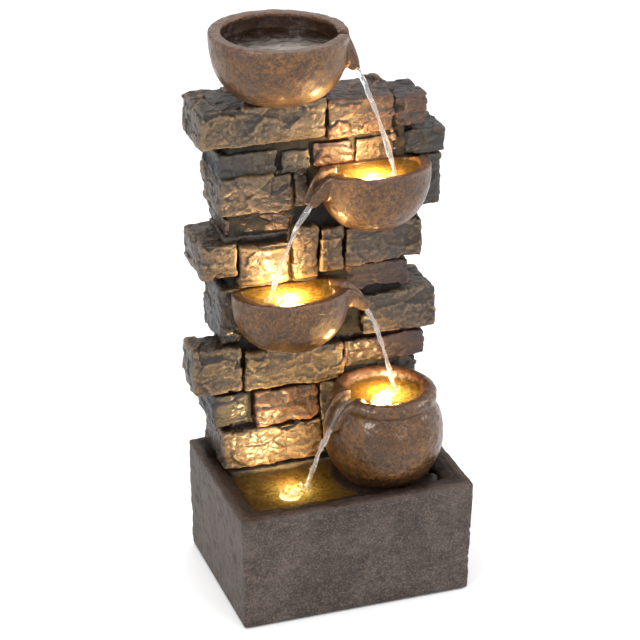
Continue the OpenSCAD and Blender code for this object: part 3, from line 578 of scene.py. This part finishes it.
def make_tower():
    left, right, top = CORE[0], CORE[1], CORE_TOP
    hollow_left, hollow_right = left + 10, right - 12
    foot = FACE - 3
    foot_in = foot + 7                      # the inner side of the foot's front wall
    foot_top = RIM - 2.5
    slot_low, slot_high = STAND + 3.8, STAND + 21.8
    boxes = [
        ((left, MORTAR, CHAMBER_TOP), (right, HOLLOW, top)),
        ((left, MORTAR, CHAMBER_TOP), (hollow_left, BACK, top)),
        ((hollow_right, MORTAR, CHAMBER_TOP), (right, BACK, top)),
        ((left, MORTAR, ROOF), (right, BACK, top)),
        ((FOOT_LEFT, foot, STAND), (-61, BACK, foot_top)), ((57, foot, STAND), (FOOT_RIGHT, BACK, foot_top)),
        ((FOOT_LEFT, foot, CHAMBER_TOP), (FOOT_RIGHT, HOLLOW, foot_top)),
        ((FOOT_LEFT, foot, STAND), (FOOT_RIGHT, foot_in, slot_low)),
        ((FOOT_LEFT, foot, slot_high), (FOOT_RIGHT, foot_in, foot_top)),
        ((FOOT_LEFT, foot, STAND), (-52, foot_in, foot_top)),
        ((-12.5, foot, STAND), (FOOT_RIGHT, foot_in, foot_top)),
        ((FOOT_LEFT, MORTAR, CHAMBER_TOP), (hollow_left, BACK, foot_top)),
        ((hollow_right, MORTAR, CHAMBER_TOP), (FOOT_RIGHT, BACK, foot_top)),
    ]
    for i in range(4):
        boxes.append(((-48.5 + 9 * i, foot, STAND), (-43 + 9 * i, foot_in, foot_top)))
    s = Skin(voxelled("mortar", boxes_mesh(boxes), 1.35))
    s.smooth(2, 0.6)
    p = s.co
    s.push(1.0 * fbm(p, 13, 3, 5) + 0.7 * facets(p, (12, 12, 7), 7, 0.8) + 0.5 * fbm(p, 4, 2, 6))
    clear_of_bowls(s.co, 3)
    s.attribute("high", 0.25 + 0.4 * s.convex(2))
    s.piece("tower_mortar", MORTAR_MAT, "stacked_stone", replaces=("tower_shell",))
    for i, row in enumerate(STONES):
        make_stone(i, row)


make_tower()


# ------------------------------------------------------------------ bowls and pot
def revolved(profile, at, flat=1.0, around=112):
    """A closed body from (radius, height, furthest y) points, first and last on the axis."""
    bm = bmesh.new()
    turn = np.linspace(0, 2 * math.pi, around, endpoint=False) + 0.01
    rings = []
    for radius, z, limit in profile:
        if radius < 1e-6:
            rings.append([bm.verts.new((at[0], at[1], at[2] + z))])
            continue
        x, y = at[0] + radius * np.cos(turn), at[1] + radius * flat * np.sin(turn)
        y = np.minimum(y, limit)
        rings.append([bm.verts.new((x[k], y[k], at[2] + z)) for k in range(around)])
    for a, b in zip(rings, rings[1:]):
        for k in range(around):
            n = (k + 1) % around
            if len(a) == 1:
                bm.faces.new((a[0], b[k], b[n]))
            elif len(b) == 1:
                bm.faces.new((a[k], b[0], a[n]))
            else:
                bm.faces.new((a[k], b[k], b[n], a[n]))
    bmesh.ops.recalc_face_normals(bm, faces=bm.faces)
    return bm


def curve_of(r, h, deepest, limit, count=18):
    out = []
    for a in np.linspace(0, math.pi / 2, count):
        z = h * math.sin(a) ** (2 / BULGE)
        out.append((r * math.cos(a) ** (2 / BULGE), -min(z, deepest), limit))
        if z >= deepest:
            break
    return out


def bowl_profile(size, back=NO_LIMIT, inner_back=NO_LIMIT):
    r, h, rim, cut = size
    outer = curve_of(r, h, h, back)[:-1] + [(0, -h, back)]
    inner = curve_of(r - rim, cut * PAST_FLOOR, cut, inner_back, 24)
    inner[-1] = ((r - rim) * FLOOR_SHARE, -cut, inner_back)
    return outer[::-1] + inner + [(0, -cut, inner_back)]


def pot_profile():
    foot, neck = -68, -11                   # heights where the belly starts and ends
    belly_r, belly_z, belly_h = 41.5, 35, 43
    lip, lip_r = 5.8, 30.4                  # the rolled lip's own radius, and the ring's
    out = [(0, foot, NO_LIMIT)]
    for z in np.linspace(foot, neck, 22):
        out.append((belly_r * math.sqrt(1 - ((z + belly_z) / belly_h) ** 2), z, NO_LIMIT))
    for a in range(-50, 181, 15):
        a = math.radians(a)
        out.append((lip_r + lip * math.cos(a), -lip + lip * math.sin(a), NO_LIMIT))
    return out + [(POT_HOLLOW_R, -POT_DEPTH, NO_LIMIT), (0, -POT_DEPTH, NO_LIMIT)]


class Spout:
    """A poured lip: a channel between two rounded walls that leaves the rim, bends over and falls."""

    def __init__(self, at, turn, stations):
        self.at, self.turn = at, math.radians(turn)
        self.stations = stations            # radius, height, half channel, half width, depth, thickness below

    def place(self, r, z, side=0.0):
        c, s = math.cos(self.turn), math.sin(self.turn)
        return Vector((self.at[0] + r * c - side * s, self.at[1] + r * s + side * c, self.at[2] + z))

    def frames(self):
        st = self.stations
        for i, row in enumerate(st):
            a, b = st[max(i - 1, 0)], st[min(i + 1, len(st) - 1)]
            t = math.atan2(a[1] - b[1], b[0] - a[0])
            yield row, math.sin(t), math.cos(t)

    def loft(self, section):
        bm = bmesh.new()
        rings = []
        for row, sn, cn in self.frames():
            ring = []
            for side, n in section(row):
                ring.append(bm.verts.new(self.place(row[0] + n * sn, row[1] + n * cn, side)))
            rings.append(ring)
        for a, b in zip(rings, rings[1:]):
            for k in range(len(a)):
                n = (k + 1) % len(a)
                bm.faces.new((a[k], b[k], b[n], a[n]))
        bm.faces.new(rings[0])
        bm.faces.new(rings[-1][::-1])
        bmesh.ops.recalc_face_normals(bm, faces=bm.faces)
        return bm

    def outside(self):
        def section(row):
            _, _, _, w, depth, under = row
            h = depth + under
            half = [(0.0, -h), (0.45 * w, -0.95 * h), (0.8 * w, -0.72 * h), (w, -0.35 * h)]
            half += [(w, -0.05 * h), (0.9 * w, 0.7), (0.6 * w, 0.8)]
            return half + [(-x, z) for x, z in half[:0:-1]]
        return self.loft(section)

    def channel(self):
        def section(row):
            _, _, w, _, depth, _ = row
            half = [(0.0, -depth), (0.5 * w, -0.93 * depth), (0.88 * w, -0.6 * depth)]
            half += [(w, 0.0), (w * 1.25, 9.0)]
            return half + [(-x, z) for x, z in half[:0:-1]]
        return self.loft(section)

    def bed(self, lift=0.9):
        """Points along the channel's floor, a little above it."""
        points = []
        for (r, z, _, _, depth, _), sn, cn in self.frames():
            points.append(self.place(r - (depth - lift) * sn, z - (depth - lift) * cn))
        return points


SPOUTS = {
    "top": Spout(TOP, -19, [
        (33, 0.0, 4.6, 9.5, 11, 3), (38, -0.3, 4.4, 9.5, 11, 8), (42, -1.6, 4.2, 9.2, 10, 9),
        (45.5, -5.5, 4.0, 8.6, 8.5, 8), (48.5, -11.5, 3.8, 7.8, 7, 6), (51, -18, 3.5, 7.0, 5.6, 4.2),
        (53, -24.5, 3.2, 6.4, 4.6, 2.6)]),
    "upper": Spout(UPPER, 186, [
        (25, 0.0, 4.6, 9.0, 7, 4), (31, -0.2, 4.5, 9.0, 7, 9), (36, -1.0, 4.4, 9.0, 7, 10),
        (40.5, -3.6, 4.2, 8.6, 7, 9), (44.5, -8.5, 4.0, 8.0, 6.5, 7.5), (47.8, -14.5, 3.7, 7.2, 5.4, 5),
        (50.5, -21, 3.3, 6.4, 4.4, 2.8)]),
    "lower": Spout(LOWER, -8, [
        (27, 0.0, 4.6, 9.5, 6.5, 4), (33, -0.2, 4.5, 9.8, 6.5, 9), (38, -0.8, 4.4, 9.6, 6.5, 11),
        (43, -3.0, 4.2, 9.0, 6.5, 10), (47.5, -7.0, 4.0, 8.2, 6, 8), (51, -12, 3.7, 7.2, 5.2, 5),
        (54, -17.5, 3.3, 6.4, 4.4, 2.8)]),
    "pot": Spout(POT, 192, [
        (22, -1.5, 6.6, 11.5, 7.5, 3), (27, -0.5, 6.4, 11.5, 7.5, 8), (31.5, -1.0, 6.1, 11.2, 7.5, 12),
        (36, -4.0, 5.7, 10.6, 7, 12), (40, -9.5, 5.2, 9.8, 6.2, 9), (43.5, -15.5, 4.7, 8.8, 5.4, 6),
        (46.5, -22, 4.2, 7.6, 4.5, 3)]),
}


def boolean(target, tool, operation):
    """target (bmesh) combined with tool (bmesh); both are used up."""
    obs = []
    for bm in (target, tool):
        mesh = bpy.data.meshes.new("part")
        bm.to_mesh(mesh)
        bm.free()
        obs.append(object_from("part", mesh))
    mod = obs[0].modifiers.new("cut", "BOOLEAN")
    mod.operation, mod.solver, mod.object = operation, "EXACT", obs[1]
    dg = bpy.context.evaluated_depsgraph_get()
    out = bmesh.new()
    out.from_object(obs[0], dg)
    for ob in obs:
        bpy.data.objects.remove(ob)
    return out


def make_bowl(node, at, profile, spout, hollow_r, hollow_low, flat=1.0, dents=0.35):
    """One bowl with its spout; the hollow's radius and depth say where it looks wet."""
    body = revolved(profile, at, flat)
    body = boolean(body, spout.outside(), "UNION")
    body = boolean(body, spout.channel(), "DIFFERENCE")
    low = bpy.data.meshes.new("low")
    body.to_mesh(low)
    body.free()
    s = Skin(voxelled(node + "_body", low, 0.8))
    s.co[:, 1] = np.minimum(s.co[:, 1], NO_LIMIT if flat == 1.0 else WALL_LIMIT)
    near = np.array([spout.place(row[0], row[1]) for row in spout.stations[2:]])
    close = np.sqrt(((s.co[:, None, :] - near[None]) ** 2).sum(2)).min(1)
    s.smooth(4, 0.6)
    s.smooth(20, 0.6, np.clip(1.5 - close / 11.0, 0, 1))
    if flat < 1:                            # the rim dips where the bowl meets the stones
        near_back = np.clip((s.co[:, 1] - FACE + 7) / 7, 0, 1)
        near_top = np.clip((s.co[:, 2] - at[2] + 9) / 6, 0, 1)
        s.co[:, 2] -= 2.8 * (near_back * near_top)
    p = s.co.copy()
    rel = p - np.array(at)
    radial = np.hypot(rel[:, 0], rel[:, 1] / flat)
    behind = p[:, 1] > (MORTAR - 1.5 if flat < 1 else NO_LIMIT)
    push = 0.6 * fbm(p, 19, 3, 31) + dents * fbm(p, 4.4, 2, 32) + 0.13 * fbm(p, 1.9, 1, 33)
    s.push(np.where(behind, 0.0, push))
    near_rim = np.clip(1 - (-rel[:, 2]) / 5.0, 0, 1)
    near_rim = near_rim * (0.7 + 0.5 * fbm(p, 6, 2, 34))
    back_wall = (p[:, 1] > FACE + 0.3) & (flat < 1)
    s.attribute("rim", np.clip(np.where(back_wall, 0, near_rim), 0, 1))
    inside = (radial < hollow_r + 1.0) & (rel[:, 2] < -2.5) & (rel[:, 2] > -hollow_low)
    s.attribute("wet", np.where(inside | back_wall, 0.8, 0.0))
    return s.piece(node + "_body", BOWL, "aged_copper_glaze", replaces=(node,))


def hollow_radius(size):
    return size[0] - size[2]


make_bowl("bowl_top", TOP, bowl_profile(TOP_SIZE), SPOUTS["top"], hollow_radius(TOP_SIZE), 31)
for node, at, size, spout in (("bowl_upper", UPPER, UPPER_SIZE, "upper"),
                              ("bowl_lower", LOWER, LOWER_SIZE, "lower")):
    shape = bowl_profile(size, WALL_LIMIT, INNER_LIMIT)
    make_bowl(node, at, shape, SPOUTS[spout], hollow_radius(size), 19.5, FLAT)
make_bowl("pot", POT, pot_profile(), SPOUTS["pot"], POT_HOLLOW_R, 19.5, dents=0.6)


# ------------------------------------------------------------------ basin and the tower's back
def make_basin():
    s = Skin(voxelled("basin_body", cad_copy("basin"), 1.3))
    s.smooth(3, 0.6)
    p = s.co.copy()
    pits = np.clip(0.42 - cells(p, 9.0, 50), 0, 0.42) * (noise(p, 14, 51) > 0.05)
    half_x, half_y = basin_high.x / MM, basin_high.y / MM
    edge = np.maximum(np.abs(p[:, 0]) / half_x, np.abs(p[:, 1]) / half_y)
    outer = edge > 0.955
    above = p[:, 2] > 4
    lumps = 0.6 * fbm(p, 28, 3, 41) + 0.55 * fbm(p, 6, 3, 42) + 0.25 * fbm(p, 2.6, 1, 46)
    in_x, in_y = half_x - np.abs(p[:, 0]), half_y + p[:, 1]
    inward = np.minimum(in_x, np.where(p[:, 1] < FACE, in_y, 99))
    shelf = (p[:, 2] > RIM - 8) & (inward > 8) & (p[:, 1] < FACE - 4)
    mound_x, mound_y = 63, -37              # a small lump of cement beside the pot
    mound = 3.0 * np.exp(-((p[:, 0] - mound_x) ** 2 + (p[:, 1] - mound_y) ** 2) / 22.0)
    rough = 0.9 + 0.9 * fbm(p, 7, 2, 45) + mound
    s.push(np.where(above, lumps - 2.4 * pits * outer + np.where(shelf, rough, 0.0), 0.0))
    rim = np.clip((p[:, 2] - (RIM - 3.5)) / 3.0, 0, 1)
    s.attribute("rim", np.clip(rim * (0.75 + 0.6 * fbm(p, 8, 2, 43)), 0, 1))
    wet = np.clip((inward - 4.0 + 2.0 * fbm(p, 9, 2, 44)) / 5.0, 0, 1) * (p[:, 2] > 8)
    s.attribute("wet", 0.9 * wet)
    return s.piece("basin_body", CEMENT, "cement", replaces=("basin",))


make_basin()


def make_rear(node, name, body, voxel=1.2):
    s = Skin(voxelled(name, cad_copy(node), voxel))
    s.smooth(1, 0.5)
    p = s.co.copy()
    outside = p[:, 1] > BACK - 1.2
    s.push(np.where(outside, 0.35 * fbm(p, 12, 3, 61) + 0.2 * fbm(p, 3.5, 2, 62), 0.0))
    s.attribute("high", 0.25 + 0.3 * s.convex(2))
    return s.piece(name, BACK_MAT, "back_stone", body=body, replaces=(node,))


make_rear("back_panel", "back_panel_body", "root")
make_rear("rear_cover", "rear_cover_body", "cover", 0.9)


# ------------------------------------------------------------------ water
def ripple(x, y, drops):
    z = 0.22 * np.sin(x * 0.55 + 1.3 * np.sin(y * 0.35)) + 0.18 * np.sin(y * 0.7 + 1.1 * np.sin(x * 0.3))
    for dx, dy, amp in drops:
        d = np.hypot(x - dx, y - dy)
        z = z + amp * np.cos(d * 1.25) * np.exp(-d / 9.0) + 0.5 * amp * np.exp(-(d / 2.2) ** 2)
    return z


def pool(name, xy_of, depth_of, level, drops, painted_light_at, painted_light_r, material):
    """A closed body of water: a rippled top, walls that follow the hollow and a floor."""
    rings, around = 44, 120
    bm = bmesh.new()
    turn = np.linspace(0, 2 * math.pi, around, endpoint=False)
    tops, lows = [], []
    for i in range(rings + 1):
        f = (i / rings) ** 0.85
        x, y = xy_of(f, turn, 0.0)
        z = level + ripple(x, y, drops)
        tops.append([bm.verts.new((x[k], y[k], z[k])) for k in range(around)] if i else
                    [bm.verts.new((x[0], y[0], z[0]))])
    steps = 8
    for i in range(1, steps + 1):
        x, y = xy_of(1.0, turn, i / steps)
        z = level + (depth_of - level) * i / steps
        lows.append([bm.verts.new((x[k], y[k], z)) for k in range(around)])
    x, y = xy_of(0.0, turn, 1.0)
    end = bm.verts.new((x[0], y[0], depth_of))
    for k in range(around):
        n = (k + 1) % around
        bm.faces.new((tops[0][0], tops[1][k], tops[1][n]))
        for i in range(1, rings):
            bm.faces.new((tops[i][k], tops[i + 1][k], tops[i + 1][n], tops[i][n]))
        bm.faces.new((tops[rings][k], lows[0][k], lows[0][n], tops[rings][n]))
        for i in range(steps - 1):
            bm.faces.new((lows[i][k], lows[i + 1][k], lows[i + 1][n], lows[i][n]))
        bm.faces.new((lows[-1][k], end, lows[-1][n]))
    mesh = bpy.data.meshes.new(name)
    bm.to_mesh(mesh)
    bm.free()
    s = Skin(mesh)
    # painted light: a falloff around a given point; the lit waters paint a lamp's glow with it and the still
    # water paints a reflection
    d = np.hypot(s.co[:, 0] - painted_light_at[0], s.co[:, 1] - painted_light_at[1])
    s.attribute("painted_light", np.clip(1.0 / (1.0 + (d / painted_light_r) ** 2.0), 0, 1))
    return s.piece(name, material, "clear_tube")


def bowl_xy(at, r, cut, level, flat=1.0, wall=None):
    """Outline of a bowl's hollow at the water, a little inside its wall so that no gap shows."""
    def outline(f, turn, down):
        depth = (at[2] - level) + (cut - (at[2] - level)) * down
        reach = r * (1 - min(depth / (cut * PAST_FLOOR), 1) ** BULGE) ** (1 / BULGE) + 0.6
        x = at[0] + reach * f * np.cos(turn)
        y = at[1] + reach * f * flat * np.sin(turn)
        if wall is not None:
            y = np.minimum(y, wall - 0.3 * (1 - f))
        return x, y
    return outline


# both waters paint their lamp's light into their colour and emission
WATER = water_material("lit_water", 1.3)
BASIN_WATER = water_material("basin_water", 0.85, "5c4220")


def still_water_material():
    m = Mat("still_water")
    # painted reflection: the falloff makes the water pale grey towards the front and dark amber towards the
    # back
    painted_reflection = m.attribute("painted_light")
    n = m.noise(9, 3, 0.5, 0.8)
    edge = m.math("ADD", painted_reflection, m.math("MULTIPLY", m.math("SUBTRACT", n, 0.5), 0.25))
    colour = m.mix(m.ramp(edge, (0.40, 0.0), (0.66, 1.0)), rgb("2a1a0c"), rgb("9a948c"))
    m.bsdf.inputs["IOR"].default_value = WATER_IOR
    alpha = m.ramp(painted_reflection, (0.4, 0.55), (0.6, 0.8))
    return m.set(base_color=colour, roughness=0.04, alpha=alpha, normal=m.bump(n, 0.2))


STILL_WATER = still_water_material()
top_outline = bowl_xy(TOP, hollow_radius(TOP_SIZE), TOP_SIZE[3], TOP_LEVEL)
# the painted reflection's falloff is centred in front of the top bowl
pool("water_top", top_outline, 367.4, TOP_LEVEL, [(2, 12, 0.2)], (-34, -26), 50, STILL_WATER)
for name, at, size, land, painted_light_at in (("water_upper", UPPER, UPPER_SIZE, LAND_UPPER, (25, -14)),
                                      ("water_lower", LOWER, LOWER_SIZE, LAND_LOWER, (-32, -9))):
    outline = bowl_xy(at, hollow_radius(size), size[3], land[2], FLAT, FACE + 1.4)
    pool(name, outline, at[2] - 17.8, land[2], [(*land[:2], 0.8)], painted_light_at, 14, WATER)


def pot_xy(f, turn, down):
    r = 25.0
    return POT[0] + r * f * np.cos(turn), POT[1] + r * f * np.sin(turn)


pool("water_pot", pot_xy, POT[2] - 17.8, LAND_POT[2], [(*LAND_POT[:2], 0.8)], (35, -21), 13, WATER)


def basin_xy(f, turn, down):
    """A rounded rectangle from the basin's left wall to the pot's round shelf."""
    centre_x, centre_y, half_x, half_y = -29.3, -17.6, 40.0, 27.2
    square, shelf_r = 14, 36.4              # squareness of the outline, radius of the pot's shelf
    c, s = np.cos(turn), np.sin(turn)
    k = (np.abs(c) ** square + np.abs(s) ** square) ** (-1 / square)
    y = centre_y + half_y * f * k * s
    shelf = POT[0] - np.sqrt(shelf_r ** 2 - np.minimum(abs(y - POT[1]), 36) ** 2)
    return np.minimum(centre_x + half_x * f * k * c, shelf - 2.0 * (1 - f)), y


pool("water_basin", basin_xy, STAND + 0.4, LAND_BASIN[2], [(*LAND_BASIN[:2], 0.9)], (-34, -23), 12,
     BASIN_WATER)


# ------------------------------------------------------------------ falling water
def add_drop(bm, at, radius):
    for vert in bmesh.ops.create_icosphere(bm, subdivisions=2, radius=radius)["verts"]:
        vert.co = vert.co + at


def stream(name, spout, landing):
    """Three strands that leave the spout's groove, twist, thin out and land in the pool below."""
    full_turn = 6.28
    lead_in = spout.bed()
    start, end = lead_in[-1], Vector(landing)
    leads = len(lead_in)
    steps = 46
    path = []
    for i in range(1, steps + 1):
        s = i / steps
        p = start.lerp(end, s)
        p.z = start.z + (end.z - 1.5 - start.z) * (0.5 * s + 0.5 * s * s)
        path.append(p)
    rng = np.random.default_rng(abs(int(landing[0] * 7 + landing[2])))
    bm = bmesh.new()
    for strand, (size, off) in enumerate(((1.35, 0.6), (0.95, 1.2), (0.6, 1.9))):
        points = [p.copy() for p in lead_in] + [p.copy() for p in path]
        phase, pace = rng.uniform(0, full_turn), rng.uniform(5.0, 8.0)
        rings = []
        for i, p in enumerate(points):
            s = max(0, i - leads) / steps
            spread = off * (0.35 + 0.65 * abs(math.sin(math.pi * (0.15 + 1.6 * s))))
            a = phase + pace * s
            c = p + Vector((math.cos(a), math.sin(a), 0)) * spread
            if i < leads:
                c = p + Vector((0, 0, 0.15 * strand))
            swell = 1 + 0.16 * math.sin(19 * s + phase) + 0.10 * math.sin(43 * s + 2 * phase)
            r = size * (1.25 - 0.5 * s) * swell
            if i < leads:
                r = size * (1.9 - 0.1 * i)
            ahead = (points[min(i + 1, len(points) - 1)] - points[max(i - 1, 0)]).normalized()
            u = ahead.cross(Vector((0, 1, 0))).normalized()
            v = ahead.cross(u)
            rings.append([bm.verts.new(c + r * (math.cos(k) * u + math.sin(k) * v))
                          for k in np.linspace(0, 2 * math.pi, 12, endpoint=False)])
        for a, b in zip(rings, rings[1:]):
            for k in range(12):
                bm.faces.new((a[k], a[(k + 1) % 12], b[(k + 1) % 12], b[k]))
        bm.faces.new(rings[0][::-1])
        bm.faces.new(rings[-1])
    for _ in range(9):
        s = rng.uniform(0.35, 0.98)
        p = path[int(s * (steps - 1))] + Vector(rng.normal(0, 1.6, 3))
        add_drop(bm, p, rng.uniform(0.45, 0.95))
    for _ in range(14):
        a, d = rng.uniform(0, full_turn), rng.uniform(1.5, 7.0)
        x, y = landing[0] + d * math.cos(a), landing[1] + 0.8 * d * math.sin(a)
        p = Vector((x, y, landing[2] + rng.uniform(-0.2, 1.6)))
        add_drop(bm, p, rng.uniform(0.5, 1.2))
    bmesh.ops.recalc_face_normals(bm, faces=bm.faces)
    mesh = bpy.data.meshes.new(name)
    bm.to_mesh(mesh)
    bm.free()
    s = Skin(voxelled(name, mesh, 0.33))
    s.smooth(3, 0.5)
    return s.piece(name, FALLING, "clear_tube")


FALLING = stream_material()
stream("stream_top", SPOUTS["top"], LAND_UPPER)
stream("stream_upper", SPOUTS["upper"], LAND_LOWER)
stream("stream_lower", SPOUTS["lower"], LAND_POT)
stream("stream_pot", SPOUTS["pot"], LAND_BASIN)

# ------------------------------------------------------------------ finishes of the CAD pieces that stay
BLACK = plain_material("moulded_black", (0.012, 0.012, 0.013), (0.02, 0.02, 0.021), 0.42)
RUBBER = plain_material("soft_rubber", (0.010, 0.010, 0.010), (0.018, 0.018, 0.018), 0.62, 1.2)
FOAM = plain_material("pad_foam", (0.012, 0.012, 0.012), (0.03, 0.03, 0.03), 0.85, 0.9, 0.25)
JACKET = plain_material("lead_jacket", (0.014, 0.014, 0.015), (0.022, 0.022, 0.022), 0.5, 4)
GREY = plain_material("moulded_grey", (0.26, 0.27, 0.28), (0.33, 0.33, 0.34), 0.4)
PALE = plain_material("impeller_white", (0.55, 0.56, 0.60), (0.66, 0.66, 0.68), 0.4)
SHAFT = plain_material("ground_ceramic", (0.75, 0.75, 0.72), (0.82, 0.82, 0.80), 0.15, 0.8, 0.02)
SPONGE = plain_material("open_cell_foam", (0.02, 0.03, 0.06), (0.07, 0.09, 0.14), 0.9, 1.1, 0.6)
TUBE = plain_material("clear_vinyl", (0.70, 0.78, 0.80), (0.80, 0.86, 0.88), 0.08, 6, 0.05, alpha=0.45)
CUP = plain_material("clear_rubber", (0.62, 0.66, 0.66), (0.70, 0.74, 0.74), 0.2, 5, 0.05, alpha=0.6)
BOARD = plain_material("lamp_board", (0.60, 0.55, 0.30), (0.75, 0.70, 0.42), 0.4, 2)


def lens_material():
    m = Mat("frosted_lens")
    n = m.noise(1.5, 3, 0.6)
    m.put(m.bsdf.inputs["Emission Color"], (1.0, 0.80, 0.42))
    m.bsdf.inputs["Emission Strength"].default_value = 14
    colour = m.mix(n, (1.0, 0.90, 0.66), (1.0, 0.95, 0.8))
    return m.set(base_color=colour, roughness=m.ramp(n, (0.3, 0.25), (0.7, 0.4)), normal=m.bump(n, 0.1))


LENS = lens_material()


def finish_of(node):
    if node.startswith("lamp_lens"):
        return LENS
    if node.startswith("lamp_board"):
        return BOARD
    if node.startswith("lead_"):
        return JACKET
    if "seal" in node or "bush" in node or node == "cable_grommet":
        return RUBBER
    own = {"base_pad": FOAM, "flow_dial": GREY, "impeller": PALE, "impeller_shaft": SHAFT,
           "pump_sponge": SPONGE, "riser_tube": TUBE, "suction_cups": CUP}
    return own.get(node, BLACK)


MADE_NEW = {"basin", "tower_shell", "back_panel", "rear_cover",
            "bowl_top", "bowl_upper", "bowl_lower", "pot"}
for node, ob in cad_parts.items():
    if node in MADE_NEW:
        continue
    if not ob.material_slots:
        ob.data.materials.append(finish_of(node))
    for slot in ob.material_slots:
        slot.material = finish_of(node)


# ------------------------------------------------------------------ floor and light
def make_floor():
    bm = bmesh.new()
    bmesh.ops.create_grid(bm, x_segments=1, y_segments=1, size=6)
    mesh = bpy.data.meshes.new("floor")
    bm.to_mesh(mesh)
    bm.free()
    ob = object_from("floor", mesh)
    m = Mat("pale_floor")
    mesh.materials.append(m.set(base_color=(0.9, 0.9, 0.9), roughness=0.9))


make_floor()


def area(name, at, towards, size, power, colour=(1, 1, 1)):
    data = bpy.data.lights.new(name, "AREA")
    data.size, data.energy, data.color = size, power, colour
    ob = bpy.data.objects.new(name, data)
    bpy.context.collection.objects.link(ob)
    ob.location = at
    ob.rotation_euler = (Vector(towards) - Vector(at)).to_track_quat("-Z", "Y").to_euler()


def lamp_light(name, at, power, size=5.0, towards=None):
    data = bpy.data.lights.new(name, "SPOT" if towards else "POINT")
    data.energy, data.color, data.shadow_soft_size = power, (1.0, 0.68, 0.30), size * MM
    ob = bpy.data.objects.new(name, data)
    bpy.context.collection.objects.link(ob)
    ob.location = Vector(at) * MM
    if towards:
        data.spot_size, data.spot_blend = math.radians(125), 0.7
        ob.rotation_euler = (Vector(towards) - Vector(at)).to_track_quat("-Z", "Y").to_euler()


area("key", (-1.3, -0.9, 1.2), (0, 0, 0.2), 0.5, 17)
area("front", (0.6, -1.8, 0.8), (0, 0, 0.2), 0.6, 7)
area("right", (1.5, -0.2, 0.9), (0, 0, 0.2), 0.6, 9)
area("top", (0, 0.3, 1.9), (0, 0, 0.2), 0.8, 9)
world = bpy.data.worlds.new("studio")
bpy.context.scene.world = world
world.use_nodes = True
world.node_tree.nodes["Background"].inputs[0].default_value = (1, 1, 1, 1)
world.node_tree.nodes["Background"].inputs[1].default_value = 0.75

lamp_light("glow_upper", (26, -8, 305), 0.26)
lamp_light("glow_lower", (-30, -6, 224), 0.26)
lamp_light("glow_pot", (34, -14, 147), 0.15)
lamp_light("glow_basin", (-34, -26, 82), 0.6, towards=(-30, 14, 104))
